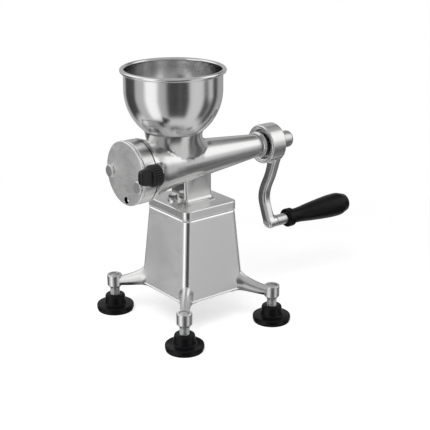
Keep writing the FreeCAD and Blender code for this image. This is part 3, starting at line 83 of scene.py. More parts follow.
def turned(profile, centre, axis="Z", segments=96):
    """Surface of revolution: every profile point (radius, along) is carried round the axis in a circle."""
    angle = np.linspace(0, 2 * math.pi, segments, endpoint=False)
    radius, along = profile[:, :1], profile[:, 1:]
    across, up = radius * np.cos(angle), radius * np.sin(angle)
    along = np.broadcast_to(along, across.shape)
    parts = (across, up, along) if axis == "Z" else (along, across, up)
    return np.stack(parts, axis=-1) + np.array(centre, float)


def new_item(name, data):
    """Object with its data, linked into the scene."""
    item = bpy.data.objects.new(name, data)
    bpy.context.scene.collection.objects.link(item)
    return item


def skin(name, *shells):
    """Object whose mesh is quads between neighbouring points of each shell, a grid of points in mm.

    Columns always run round and close. Rows close as well where a shell is given as (grid, True).
    """
    points, quads, first = [], [], 0
    for shell in shells:
        grid, closed = shell if isinstance(shell, tuple) else (shell, False)
        rows, columns = grid.shape[:2]
        row = np.arange(rows if closed else rows - 1)[:, None]
        column = np.arange(columns)[None]
        after, beside = (row + 1) % rows, (column + 1) % columns
        corners = [row * columns + column, row * columns + beside,
                   after * columns + beside, after * columns + column]
        quads.append(first + np.stack(np.broadcast_arrays(*corners), axis=-1).reshape(-1, 4))
        points.append(grid.reshape(-1, 3))
        first += rows * columns
    mesh = bpy.data.meshes.new(name)
    mesh.from_pydata((np.vstack(points) * MM + MIDDLE).tolist(), [], np.vstack(quads).tolist())
    work = bmesh.new()
    work.from_mesh(mesh)
    bmesh.ops.remove_doubles(work, verts=work.verts, dist=1e-6)
    bmesh.ops.dissolve_degenerate(work, edges=work.edges, dist=1e-7)
    bmesh.ops.recalc_face_normals(work, faces=work.faces)
    work.to_mesh(mesh)
    work.free()
    mesh.shade_smooth()
    return new_item(name, mesh)


def fit(item, material, body, slot, *nodes):
    """Gives a piece its material, the body it rides on and the solids it stands for, which it hides. The slot
    is not used.
    """
    item.data.materials.clear()
    item.data.materials.append(material)
    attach(item, body)
    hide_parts(*nodes)


def add(tree, kind, values=(), **settings):
    """New node in a tree: settings are its properties, values its inputs, as links or as plain values."""
    node = tree.nodes.new(kind)
    for label, setting in settings.items():
        setattr(node, label, setting)
    for label, value in dict(values).items():
        if isinstance(value, bpy.types.NodeSocket):
            tree.links.new(value, node.inputs[label])
        else:
            node.inputs[label].default_value = value
    return node


def effect(name, output_names, input_values):
    """Empty shader node group with float outputs, and inputs that are vectors where their value is one."""
    group = bpy.data.node_groups.new(name, "ShaderNodeTree")
    for label, value in input_values.items():
        kind = "NodeSocketVector" if isinstance(value, tuple) else "NodeSocketFloat"
        group.interface.new_socket(label, in_out="INPUT", socket_type=kind).default_value = value
    for label in output_names:
        group.interface.new_socket(label, in_out="OUTPUT", socket_type="NodeSocketFloat")
    return group, group.nodes.new("NodeGroupInput").outputs, group.nodes.new("NodeGroupOutput").inputs


# Fine speckle of a moulded or cast skin: two sizes of noise, one for grain and one for soft patches.
skin_grain, given, result = effect("moulded_grain", ["Grain", "Patches"], {
    "Vector": (0.0, 0.0, 0.0), "Grains per metre": 900.0, "Patches per metre": 25.0})
fine = add(skin_grain, "ShaderNodeTexNoise", {
    "Vector": given["Vector"], "Scale": given["Grains per metre"], "Detail": 3.0, "Roughness": 0.6})
broad = add(skin_grain, "ShaderNodeTexNoise", {
    "Vector": given["Vector"], "Scale": given["Patches per metre"], "Detail": 2.0})
skin_grain.links.new(fine.outputs["Fac"], result["Grain"])
skin_grain.links.new(broad.outputs["Fac"], result["Patches"])


def finish(name, colour, metallic, roughness):
    """New material: a Principled shader with plain values, and its Object coordinates."""
    material = bpy.data.materials.new(name)
    material.use_nodes = True
    shader = material.node_tree.nodes["Principled BSDF"]
    shader.inputs["Base Color"].default_value = (*colour, 1)
    shader.inputs["Metallic"].default_value = metallic
    shader.inputs["Roughness"].default_value = roughness
    place = add(material.node_tree, "ShaderNodeTexCoord")
    return material, shader, place.outputs["Object"]


def spread(tree, value, low, high, start=0.3, end=0.7):
    """Carries a value from start..end over to low..high."""
    return add(tree, "ShaderNodeMapRange", {"Value": value, "From Min": start, "From Max": end,
                                            "To Min": low, "To Max": high}).outputs["Result"]


def blend_colours(tree, share, first, second):
    """Colour between two colours, by a share."""
    node = add(tree, "ShaderNodeMix", {"Factor": share, 6: (*first, 1), 7: (*second, 1)}, data_type="RGBA")
    return node.outputs[2]


def raise_surface(tree, shader, height, depth):
    """Bump on the shader's normal, depth in metres between the height's 0 and 1."""
    bump = add(tree, "ShaderNodeBump", {"Height": height, "Distance": depth, "Strength": 1.0})
    tree.links.new(bump.outputs["Normal"], shader.inputs["Normal"])


def moulded(name, dark, pale, rough, grains, depth, gloss=0.13):
    """Moulded black finish: speckled colour and roughness between two values, and a fine skin."""
    material, shader, place = finish(name, dark, 0, rough[0])
    shader.inputs["Specular IOR Level"].default_value = gloss
    tree = material.node_tree
    grain = add(tree, "ShaderNodeGroup", {"Vector": place, "Grains per metre": grains}, node_tree=skin_grain)
    tree.links.new(blend_colours(tree, grain.outputs["Patches"], dark, pale), shader.inputs["Base Color"])
    tree.links.new(spread(tree, grain.outputs["Patches"], *rough), shader.inputs["Roughness"])
    raise_surface(tree, shader, grain.outputs["Grain"], depth)
    return material


rubber = moulded("sole_rubber", (0.006, 0.006, 0.006), (0.01, 0.01, 0.0105), (0.7, 0.85), 1400.0, 0.0001)
sole_profile = rounded([(0, 0, 0), (SOLE_RADIUS, 0, 0.7), (SOLE_RADIUS, SOLE, 0.2), (0, SOLE, 0)])
for corner, (sx, sy) in CORNERS.items():
    sole = skin("sole_" + corner, turned(sole_profile, (sx * FOOT_X, sy * FOOT_Y, 0)))
    fit(sole, rubber, "foot_" + corner, "sole_rubber", "foot_sole_" + corner)

# Moulded feet: a wide disc with a bell that holds the stud's flange.
# Glass-filled nylon, moulded in one piece, with softly rounded edges and a fine skin.
PAD_RADIUS, PAD_RIM, PAD_SLOPE, BELL_FOOT, BELL_TOP, PAD_HEIGHT = 23, 5.5, 0.7, 13.4, 12, 18.5
STUD_HOLE, FLANGE_ROOM, FLANGE_CEILING = 6.3, 9.3, 4
pad_black = moulded("foot_nylon", (0.004, 0.004, 0.0045), (0.007, 0.007, 0.008), (0.17, 0.24),
                    1100.0, 0.00003)


def ring_profile(corners):
    """Closed outline of a ring's section: as rounded(), from halfway along its last side round to there."""
    a, b = np.array(corners[-1][:2], float), np.array(corners[0][:2], float)
    start = tuple((a + b) / 2) + (0,)
    return rounded([start] + corners + [start])[:-1]


pad_profile = ring_profile([
    (FLANGE_ROOM, 0, 0.2), (PAD_RADIUS, 0, 0.8), (PAD_RADIUS, PAD_RIM, 1.5),
    (BELL_FOOT, PAD_RIM + PAD_SLOPE, 1.6), (BELL_TOP, PAD_HEIGHT, 3), (STUD_HOLE, PAD_HEIGHT, 0.4),
    (STUD_HOLE, FLANGE_CEILING, 0.2), (FLANGE_ROOM, FLANGE_CEILING, 0.2)])
for corner, (sx, sy) in CORNERS.items():
    pad = skin("pad_" + corner, (turned(pad_profile, (sx * FOOT_X, sy * FOOT_Y, SOLE)), True))
    fit(pad, pad_black, "foot_" + corner, "pad_black", "foot_pad_" + corner)

# Levelling studs: a flanged stud with a rolled thread.
# Zinc-plated steel, its flange captive in the moulded foot and its thread in the leg's boss.
STUD_RADIUS, STUD_PLAIN, STUD_FLANGE, FLANGE_RADIUS, FLANGE_GAP, STUD_SEGMENTS = 6, 12.5, 3, 9, 0.4, 48
THREAD_PITCH, THREAD_TURNS, THREAD_DEPTH, THREAD_FLAT, ROD_OVERLAP = 1.75, 16, 1, 0.125, 0.4
THREAD_START = STUD_FLANGE + STUD_PLAIN
THREAD_END = THREAD_START + THREAD_TURNS * THREAD_PITCH
METAL_GRAINS, LINE_ROUGHNESS = 1500.0, (0.88, 1.25)


def screw_rod(heights, centre):
    """Closed grid of an upright threaded rod, its ends drawn in to the axis.

    A triangle wave of the height, shifted by one pitch in each turn, is cut off flat at crest and root,
    and fades in over the first pitch.
    """
    angle = np.linspace(0, 2 * math.pi, STUD_SEGMENTS, endpoint=False)[None]
    phase = (heights[:, None] - THREAD_START) / THREAD_PITCH - angle / (2 * math.pi)
    wave = np.clip((1 + 2 * THREAD_FLAT) * np.abs(2 * (phase % 1) - 1) - THREAD_FLAT, 0, 1)
    fade = np.clip((heights - THREAD_START) / THREAD_PITCH, 0, 1)[:, None]
    ring = STUD_RADIUS - THREAD_DEPTH * fade * wave
    ring[0], ring[-1] = 0, 0
    rise = np.broadcast_to(heights[:, None], ring.shape)
    return np.stack((ring * np.cos(angle), ring * np.sin(angle), rise), axis=-1) + np.array(centre, float)


def combine(tree, operation, first, second):
    """Result of a maths node on two values."""
    return add(tree, "ShaderNodeMath", {0: first, 1: second}, operation=operation).outputs[0]


def brushed(name, colour, tint, roughness, patches, grain_depth, lines=None, edge=1.0, **settings):
    """Worked metal: softly patchy colour and roughness, a very fine grain, and the lines that a tool leaves.

    The lines, a node group with its settings, add up to a quarter to the roughness and stand out by
    grain_depth. Where the mesh is marked as an edge, the roughness falls to the share that edge gives.
    """
    material, shader, place = finish(name, colour, 1, roughness[0])
    tree = material.node_tree
    grain = add(tree, "ShaderNodeGroup", {"Vector": place, "Grains per metre": METAL_GRAINS,
                                          "Patches per metre": patches}, node_tree=skin_grain)
    rough, height = spread(tree, grain.outputs["Patches"], *roughness), grain.outputs["Grain"]
    if lines:
        marks = add(tree, "ShaderNodeGroup", {"Vector": place}, node_tree=lines)
        for label, value in settings.items():
            marks.inputs[label.replace("_", " ").capitalize()].default_value = value
        height = marks.outputs["Lines"]
        rough = combine(tree, "MULTIPLY", rough, spread(tree, height, *LINE_ROUGHNESS))
    if edge < 1:
        marked = add(tree, "ShaderNodeAttribute", attribute_name="edge").outputs["Fac"]
        wear = add(tree, "ShaderNodeGroup", {"Roughness": rough, "Edge": marked, "Share": edge},
                   node_tree=worn_edges)
        rough = wear.outputs["Roughness"]
    tree.links.new(blend_colours(tree, grain.outputs["Patches"], colour, tint), shader.inputs["Base Color"])
    tree.links.new(rough, shader.inputs["Roughness"])
    raise_surface(tree, shader, height, grain_depth)
    return material


zinc = brushed("stud_zinc", (0.55, 0.56, 0.57), (0.62, 0.62, 0.62), (0.28, 0.4), 60.0, 0.00001)
rod_foot = THREAD_START - ROD_OVERLAP
rod_rows = np.concatenate(([rod_foot], np.linspace(rod_foot, THREAD_END, THREAD_TURNS * 12), [THREAD_END]))
flange_profile = rounded([
    (0, 0, 0), (FLANGE_RADIUS, 0, 0.3), (FLANGE_RADIUS, STUD_FLANGE, 0.3), (STUD_RADIUS, STUD_FLANGE, 0.3),
    (STUD_RADIUS, THREAD_START, 0.2), (0, THREAD_START, 0)])
for corner, (sx, sy) in CORNERS.items():
    spot = (sx * FOOT_X, sy * FOOT_Y, SOLE + FLANGE_GAP)
    flanged = turned(flange_profile, spot, segments=STUD_SEGMENTS)
    stud = skin("stud_" + corner, flanged, screw_rod(rod_rows, spot))
    fit(stud, zinc, "stud_" + corner, "stud_steel", "foot_stud_" + corner)

# Legs: a ridge that falls from each pedestal corner to an upright threaded boss.
# Cast aluminium, ground and satin polished, screwed to the shell from inside.
BOSS_FOOT, BOSS_RADIUS, BOSS_HEIGHT, BOSS_EASE, EASE_HEIGHT, STUD_BORE = 30.5, 9.2, 16.5, 2.2, 2.6, 6.15
LEG_TURN, LEG_START, LEG_SINK, LEG_REACH, FLARE_START = math.radians(51), -4.6, 1.2, 60.0, 0.7
# Sizes of the leg's section: at the boss, its gain up to the root, the power of that gain, and its flare.
LEG_WIDTH, LEG_HEIGHT, LEG_UNDERSIDE = (10.5, 3.5, 1, 7.8), (11, 9.5, 1.5, 3.5), (3.5, 5.5, 1.2, -0.5)
SHELL_FOOT, SHELL_HEIGHT, SHELL_CORNER = 40, 101, 7.5
SHELL_BASE, SHELL_TOP = np.array([45.5, 46.5]), np.array([37.4, 39.8])
leg_metal = brushed("satin_aluminium", (0.72, 0.72, 0.715), (0.78, 0.78, 0.775), (0.27, 0.33), 30.0, 0.00001)


def shell_distance(points):
    """Distance of points outside the tapered, round-cornered box of the pedestal's shell, in plan."""
    share = (points[..., 2:] - SHELL_FOOT) / SHELL_HEIGHT
    half = SHELL_BASE + (SHELL_TOP - SHELL_BASE) * share - SHELL_CORNER
    over = np.abs(points[..., :2]) - half
    return np.hypot(*np.moveaxis(np.maximum(over, 0), -1, 0)) + np.minimum(over.max(-1), 0) - SHELL_CORNER


def with_ends(grid):
    """Grid with one more row at each end, drawn in to the middle of the first and the last row."""
    ends = [np.broadcast_to(row.mean(axis=0), row.shape)[None] for row in (grid[0], grid[-1])]
    return np.concatenate((ends[0], grid, ends[1]))


def leg_grid(sx, sy):
    """Leg between boss and shell: a flat-bottomed, round-topped section carried along the leg.

    Width, height and underside follow smooth curves of the share of the way and flare at the root.
    Each line of points ends where it goes into the shell, found by halving the interval.
    """
    share = np.linspace(0, 1, 40)[:, None]
    flare = np.clip((share - FLARE_START) / (1 - FLARE_START), 0, 1) ** 2
    width, height, bottom = (start + gain * share ** power + spur * flare
                             for start, gain, power, spur in (LEG_WIDTH, LEG_HEIGHT, LEG_UNDERSIDE))
    angle, level = np.linspace(0, math.pi, 25), np.linspace(-1, 1, 13)[1:-1]
    across = np.concatenate((np.cos(angle), level)) * width / 2
    rise = np.concatenate((np.sin(angle), 0 * level))
    arched = np.concatenate((np.ones(angle.size), 0 * level))
    round_top = np.minimum(width / 2, height)
    up = bottom + arched * (height - round_top) + rise * round_top
    turn = math.atan2(sy * math.sin(LEG_TURN), sx * math.cos(LEG_TURN))
    outward = np.array([math.cos(turn), math.sin(turn), 0])
    side, upward = np.array([-math.sin(turn), math.cos(turn), 0]), np.array([0, 0, 1])
    foot = np.array([sx * FOOT_X, sy * FOOT_Y, BOSS_FOOT])
    root = foot + across[-1][:, None] * side + up[-1][:, None] * upward
    near, far = np.zeros(across.shape[1]), np.full(across.shape[1], -LEG_REACH)
    for _ in range(30):
        middle = (near + far) / 2
        outside = shell_distance(root + middle[:, None] * outward) > -LEG_SINK
        near, far = np.where(outside, middle, near), np.where(outside, far, middle)
    run = LEG_START + share * (near[None] - LEG_START)
    return with_ends(foot + run[..., None] * outward + across[..., None] * side + up[..., None] * upward)


boss_profile = ring_profile([
    (STUD_BORE, 0, 0.2), (BOSS_RADIUS - BOSS_EASE, 0, 0.4), (BOSS_RADIUS, EASE_HEIGHT, 0.8),
    (BOSS_RADIUS, BOSS_HEIGHT, 1.4), (STUD_BORE, BOSS_HEIGHT, 0.3)])
for corner, (sx, sy) in CORNERS.items():
    boss = turned(boss_profile, (sx * FOOT_X, sy * FOOT_Y, BOSS_FOOT), segments=64)
    leg = skin("leg_cast_" + corner, leg_grid(sx, sy), (boss, True))
    fit(leg, leg_metal, "stand", "leg_metal", "leg_" + corner)

# Pedestal shell: a tapered box, open below, with rounded upright corners and a rolled lower edge.
# Satin stainless sheet, folded and welded, clamped between the legs and the blocks inside.
SHELL_WALL, HEM, HEM_INSET, HEM_HEIGHT, HEM_GROOVE, INNER_EASE = 2.5, 0.7, 0.2, 2, 0.4, 0.3
CORNER_STEPS, CORNER_DRAW, SIDE_STEPS, SIDE_SUPPORT, EDGE_GAIN, EDGE_START = 14, 0.7, 10, 0.012, 12, 0.08


def box_ring(half, radius, rise):
    """Ring of points round a box with rounded corners: quarter circles joined by straight sides.

    Two more points on each side, close to the circles, keep the sides flat when shaded smooth.
    """
    turn = np.linspace(0, math.pi / 2, CORNER_STEPS)
    arcs = []
    for index, quarter in enumerate(((1, 1), (-1, 1), (-1, -1), (1, -1))):
        angle = turn + index * math.pi / 2
        arcs.append((half - radius) * quarter + radius * np.stack((np.cos(angle), np.sin(angle)), axis=-1))
    share = np.linspace(0, 1, SIDE_STEPS + 2)[1:-1]
    share = np.sort(np.concatenate((share, [SIDE_SUPPORT, 1 - SIDE_SUPPORT])))[:, None]
    sides = [arc[-1] + share * (after[0] - arc[-1]) for arc, after in zip(arcs, arcs[1:] + arcs[:1])]
    ring = np.vstack([part for pair in zip(arcs, sides) for part in pair])
    return np.column_stack((ring, np.full(len(ring), float(rise))))


def shell_ring(rise, inset):
    """Ring of the shell at a height above its lower edge, drawn in by an inset and its corners by less."""
    half = SHELL_BASE + (SHELL_TOP - SHELL_BASE) * rise / SHELL_HEIGHT - inset
    return box_ring(half, max(SHELL_CORNER - CORNER_DRAW * inset, 1), SHELL_FOOT + rise)


def vectors(parts, label):
    """Vectors of a mesh's points or faces, one in each row."""
    values = np.empty(3 * len(parts), np.float32)
    parts.foreach_get(label, values)
    return values.reshape(-1, 3)


def mark_points(item, label, values):
    """Gives each point of a mesh a number under a label, for its material to read."""
    marks = item.data.attributes.new(label, "FLOAT", "POINT")
    marks.data.foreach_set("value", values.astype(np.float32))


def mark_edges(item):
    """Marks how far each normal turns away from the nearest axis: 0 on flat sides, 1 on rounded edges."""
    nearest = np.abs(vectors(item.data.vertices, "normal")).max(axis=1)
    mark_points(item, "edge", np.clip(EDGE_GAIN * (1 - nearest) - EDGE_START, 0, 1))


# Worn edges: the roughness falls to a share of itself where the mesh is marked as an edge.
worn_edges, given, result = effect("worn_edges", ["Roughness"], {"Roughness": 0.5, "Edge": 0.0, "Share": 0.3})
kept_share = spread(worn_edges, given["Edge"], 1, given["Share"], 0, 1)
worn = combine(worn_edges, "MULTIPLY", given["Roughness"], kept_share)
worn_edges.links.new(worn, result["Roughness"])
# Strokes of a grinding belt: noise drawn out along the stroke by its own number of lines along each axis.
brush_strokes, given, result = effect("brush_strokes", ["Lines"], {
    "Vector": (0.0, 0.0, 0.0), "Lines per metre": (1.0, 1.0, 1.0)})
drawn = add(brush_strokes, "ShaderNodeVectorMath", {0: given["Vector"], 1: given["Lines per metre"]},
            operation="MULTIPLY")
strokes = add(brush_strokes, "ShaderNodeTexNoise", {
    "Vector": drawn.outputs[0], "Scale": 1.0, "Detail": 3.0, "Roughness": 0.6})
brush_strokes.links.new(strokes.outputs["Fac"], result["Lines"])
sheet_steel = brushed("satin_sheet", (0.88, 0.88, 0.88), (0.92, 0.92, 0.92), (0.44, 0.5), 18.0, 0.000004,
                      brush_strokes, edge=0.32, lines_per_metre=(60, 60, 2600))
# Rows of the shell, each a rise above its lower edge and an inset: hem, groove, outside, step, top, inside.
shell_rows = [(HEM_HEIGHT / 2 * (1 + math.sin(turn)), HEM_INSET - (HEM + HEM_INSET) * math.cos(turn))
              for turn in np.linspace(-math.pi / 2, math.pi / 2, 9)]
shell_rows += [(HEM_HEIGHT + 0.1, HEM_GROOVE), (HEM_HEIGHT + 0.5, HEM_GROOVE), (HEM_HEIGHT + 0.8, 0.1)]
shell_rows += [(rise, 0) for rise in (3.1, 4, 8, 30, 60, 90, 97, 98.6)]
shell_rows += [(98.9, 0.1), (99.2, 0.5)] + [(SHELL_HEIGHT, inset) for inset in (0.6, 1.2, SHELL_WALL)]
shell_rows += [(rise, SHELL_WALL) for rise in (100, 98, 60, 30, 3, 0.4)] + [(0, SHELL_WALL - INNER_EASE)]
shell = skin("shell_folded", (np.stack([shell_ring(*row) for row in shell_rows]), True))
mark_edges(shell)
fit(shell, sheet_steel, "stand", "shell_metal", "pedestal_shell")

# Pedestal cap: a thick-sided lid with eased edges, and a groove over a bead along its lower edge.
# Cast aluminium, satin ground, held on the shell's flange by screws from inside.
CAP_HALF, CAP_FOOT, CAP_HEIGHT, CAP_PLATE, CAP_SIDE = np.array([38, 40.4]), 141, 11, 4, 11
CAP_BEAD, CAP_GROOVE = 1.5, 0.6
cap_metal = brushed("satin_cap", (0.82, 0.82, 0.815), (0.86, 0.86, 0.855), (0.36, 0.42), 24.0, 0.000004,
                    brush_strokes, edge=0.36, lines_per_metre=(90, 1600, 1600))
groove_top, cap_ceiling, cap_centre = CAP_BEAD + CAP_GROOVE, CAP_HEIGHT - CAP_PLATE, CAP_HALF[0]
cap_outline = rounded([
    (cap_centre, CAP_HEIGHT, 0), (0, CAP_HEIGHT, 1.6), (0, groove_top, 0.2), (CAP_GROOVE, groove_top, 0.1),
    (CAP_GROOVE, CAP_BEAD, 0.1), (0, CAP_BEAD, 0.4), (0, 0, 0.5), (CAP_SIDE, 0, 0.3),
    (CAP_SIDE, cap_ceiling, 0.3), (cap_centre, cap_ceiling, 0)])
cap_grid = [box_ring(np.maximum(CAP_HALF - inset, 0.02), np.clip(SHELL_CORNER - inset, 0.01, SHELL_CORNER),
                     CAP_FOOT + rise) for inset, rise in cap_outline]
cap = skin("cap_cast", np.stack(cap_grid))
mark_edges(cap)
fit(cap, cap_metal, "stand", "cap_metal", "pedestal_cap")

# Grinder body: barrel, neck, post, ear and hook in one casting.
# Sand-cast aluminium, fettled and polished, shown in the solid's own shape with evenly shaded faces.
SHARP_ANGLE = math.radians(28)
body_metal = brushed("polished_aluminium", (0.72, 0.72, 0.715), (0.78, 0.78, 0.775), (0.19, 0.24), 30.0,
                     0.000006)


def merged_copy(node, name):
    """Copy of a solid's mesh with its loose triangles joined, shaded smooth but for sharp edges."""
    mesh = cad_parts[node].data.copy()
    mesh.name = name
    work = bmesh.new()
    work.from_mesh(mesh)
    bmesh.ops.remove_doubles(work, verts=work.verts, dist=2e-6)
    work.to_mesh(mesh)
    work.free()
    mesh.shade_smooth()
    mesh.set_sharp_from_angle(angle=SHARP_ANGLE)
    item = new_item(name, mesh)
    even = item.modifiers.new("even_shading", "WEIGHTED_NORMAL")
    even.mode, even.weight, even.keep_sharp = "FACE_AREA_WITH_ANGLE", 60, True
    return item


casting = merged_copy("grinder_body", "body_casting")
fit(casting, body_metal, "stand", "body_metal", "grinder_body")

# Bowl: a deep round hopper with a rolled rim.
# Stainless sheet, spun on a lathe and polished, standing in the neck on a seal ring.
BOWL_X, SPOUT_Z = -25, 228.5
BOWL_RADIUS, BOWL_WALL, SEAT_RADIUS, SPOUT_RADIUS, BEAD = 57, 1.2, 34.2, 19.8, 2.6
SEAT, ROUND, STRAIGHT = 12.1, 48, 22
LIP, LIP_INNER, LIP_OUTER = 1.6, 0.2, 0.1
SHOULDER, RIM = SEAT + ROUND, SEAT + ROUND + STRAIGHT
SINK = BOWL_RADIUS - SEAT_RADIUS
CURVE = (ROUND ** 2 + SINK ** 2) / (2 * SINK)
# Marks of a lathe tool: noise over the distance from an axis and the place along it, so it runs in rings.
turning_marks, given, result = effect("turning_marks", ["Lines"], {
    "Vector": (0.0, 0.0, 0.0), "Centre": (0.0, 0.0, 0.0), "Axis": (0.0, 0.0, 1.0), "Marks per metre": 2000.0})
spot = add(turning_marks, "ShaderNodeVectorMath", {0: given["Vector"], 1: given["Centre"]},
           operation="SUBTRACT")
along = add(turning_marks, "ShaderNodeVectorMath", {0: spot.outputs[0], 1: given["Axis"]},
            operation="DOT_PRODUCT")
foot = add(turning_marks, "ShaderNodeVectorMath", {0: given["Axis"], "Scale": along.outputs["Value"]},
           operation="SCALE")
away = add(turning_marks, "ShaderNodeVectorMath", {0: spot.outputs[0], 1: foot.outputs[0]},
           operation="DISTANCE")
plane = add(turning_marks, "ShaderNodeCombineXYZ", {"X": away.outputs["Value"], "Y": along.outputs["Value"]})
rings = add(turning_marks, "ShaderNodeTexNoise", {
    "Vector": plane.outputs[0], "Scale": given["Marks per metre"], "Detail": 3.0, "Roughness": 0.6})
turning_marks.links.new(rings.outputs["Fac"], result["Lines"])
bowl_centre = tuple(MIDDLE + np.array([BOWL_X, 0, 0]) * MM)
bowl_steel = brushed("spun_stainless", (0.72, 0.72, 0.72), (0.76, 0.76, 0.76), (0.14, 0.18), 12.0, 0.0000015,
                     turning_marks, centre=bowl_centre, axis=(0, 0, 1), marks_per_metre=1500.0)


def bowl_curve(radius):
    """Bowl wall from seat to shoulder: an arc whose centre stands level with the shoulder."""
    angle = np.linspace(-math.asin(ROUND / CURVE), 0, 60)
    return np.column_stack((BOWL_RADIUS - CURVE + radius * np.cos(angle), SHOULDER + radius * np.sin(angle)))


lip = [[SPOUT_RADIUS - LIP, LIP_INNER], [SPOUT_RADIUS - LIP / 2, 0], [SPOUT_RADIUS, LIP_OUTER]]
cone = np.linspace(lip[-1], (SEAT_RADIUS, SEAT), 8)[1:-1]
outer, inner = bowl_curve(CURVE), bowl_curve(CURVE - BOWL_WALL)[::-1]
straight = [(BOWL_RADIUS, SHOULDER + STRAIGHT * share) for share in (0.1, 0.4, 0.7, 0.83, 0.86)]
bead_turn = np.linspace(-math.pi + math.acos((BEAD - BOWL_WALL) / BEAD), math.pi, 36)
bead = np.column_stack((np.cos(bead_turn), np.sin(bead_turn))) * BEAD + [BOWL_RADIUS - BOWL_WALL + BEAD, RIM]
inner_straight = [[BOWL_RADIUS - BOWL_WALL, RIM - 2], [BOWL_RADIUS - BOWL_WALL, SHOULDER + 3]]
inner_cone = np.linspace(inner[-1], lip[0], 8)[1:-1]
bowl_profile = np.vstack((lip, cone, outer, straight, bead, inner_straight, inner, inner_cone))
bowl = skin("bowl_spun", (turned(bowl_profile, (BOWL_X, 0, SPOUT_Z), segments=192), True))
fit(bowl, bowl_steel, "stand", "bowl_steel", "hopper_bowl")

# Fixings, seals and inner pieces: shown as the solids are, with joined and smoothly shaded faces.
# Steel, brass and rubber pieces that stand between or inside the larger ones.
gasket_black = moulded("gasket_rubber", (0.003, 0.003, 0.003), (0.006, 0.006, 0.006), (0.75, 0.85),
                       1200.0, 0.00003)
bright_steel = brushed("bright_steel", (0.6, 0.6, 0.6), (0.66, 0.66, 0.66), (0.18, 0.26), 60.0, 0.000006)
button_steel = brushed("button_steel", (0.76, 0.76, 0.755), (0.82, 0.82, 0.815), (0.36, 0.42), 60.0, 0.000006)
dull_steel = brushed("plated_steel", (0.45, 0.46, 0.47), (0.52, 0.52, 0.52), (0.35, 0.45), 60.0, 0.000008)
brass = brushed("bush_brass", (0.62, 0.45, 0.2), (0.68, 0.5, 0.24), (0.25, 0.35), 50.0, 0.000008)
ground_steel = brushed("ground_blade", (0.55, 0.55, 0.55), (0.6, 0.6, 0.6), (0.2, 0.3), 40.0, 0.000008)
PLAIN_PIECES = [
    ("stand", "hidden_fixings", dull_steel,
     ["corner_blocks", "leg_screws", "cap_screws", "post_screws", "tongue_nut", "plate_pin"]),
    ("stand", "bright_fixings", bright_steel, ["tongue_washer", "tongue_bolt", "clamp_stud"]),
    ("stand", "bright_fixings", button_steel, ["cover_screws"]),
    ("stand", "gasket_rubber", gasket_black, ["hopper_seal", "body_gasket", "cover_gasket", "shaft_seal"]),
    ("stand", "blade_steel", ground_steel, ["hole_plate"]),
    ("stand", "bush_brass", brass, ["inner_bush"]),
    ("stand", "bush_steel", bright_steel, ["rear_bush"]),
    ("crank", "screw_steel", ground_steel, ["feed_screw"]),
    ("crank", "blade_steel", ground_steel, ["cross_knife"]),
    ("crank", "bush_steel", bright_steel, ["thrust_washer"]),
    ("crank", "bright_fixings", bright_steel, ["crank_washer"]),
    ("crank", "hidden_fixings", dull_steel, ["grip_clip"]),
    ("knob", "hidden_fixings", brass, ["knob_insert"]),
    ("clamp_slider", "bright_fixings", bright_steel, ["clamp_washer"])]
for body, slot, material, nodes in PLAIN_PIECES:
    for node in nodes:
        fit(merged_copy(node, node + "_shown"), material, body, slot, node)

# Head ring and front cover: a thick ring with an ear, a tab and an outlet slot, and a disc with one hole.
# Cast aluminium, turned bright outside and left dull inside, where the bore and the cover's hole are painted
# near black as painted shade.
# Two screws hold the cover on the ring, and the clamp and the hook hold the ring on the barrel.
AXIS_Z, SHADE_REACH = 200, 31.7
COVER_HOLE, COVER_HOLE_Y, COVER_HOLE_DROP, HOLE_MARGIN = 4.2, -2, 31, 0.05
screw_axis = tuple(MIDDLE + np.array([0, 0, AXIS_Z]) * MM)
turned_metal = brushed("turned_aluminium", (0.72, 0.72, 0.715), (0.78, 0.78, 0.775), (0.2, 0.26), 30.0,
                       0.000003, turning_marks, centre=screw_axis, axis=(1, 0, 0), marks_per_metre=1800.0)
faced_metal = brushed("faced_aluminium", (0.86, 0.86, 0.855), (0.9, 0.9, 0.895), (0.42, 0.48), 30.0,
                      0.000003, brush_strokes, lines_per_metre=(400, 120, 1800))
# Near-black metal: painted shade for the ring's bore and the cover's hole.
painted_shade_metal = brushed("painted_shade_casting", (0.02, 0.02, 0.019), (0.04, 0.04, 0.038), (0.5, 0.6), 80.0,
                        0.00004)


def paint_inner_shade(item, reach, side=0, lift=0):
    """Paints shade on the faces within a reach of the screw's axis, shifted sideways and upward: they take a
    near-black metal.
    """
    off = (vectors(item.data.polygons, "center") - screw_axis) / MM - (0, side, lift)
    item.data.materials.append(painted_shade_metal)
    near = np.hypot(off[:, 1], off[:, 2]) < reach
    item.data.polygons.foreach_set("material_index", near.astype(np.int32))


ring = merged_copy("head_ring", "head_ring_shown")
fit(ring, turned_metal, "stand", "head_metal", "head_ring")
# Painted shade: the faces inside the ring turn near black.
paint_inner_shade(ring, SHADE_REACH)
cover = merged_copy("front_cover", "front_cover_shown")
fit(cover, faced_metal, "stand", "head_metal", "front_cover")
# Painted shade: the faces of the cover's hole turn near black.
paint_inner_shade(cover, COVER_HOLE + HOLE_MARGIN, COVER_HOLE_Y, -COVER_HOLE_DROP)

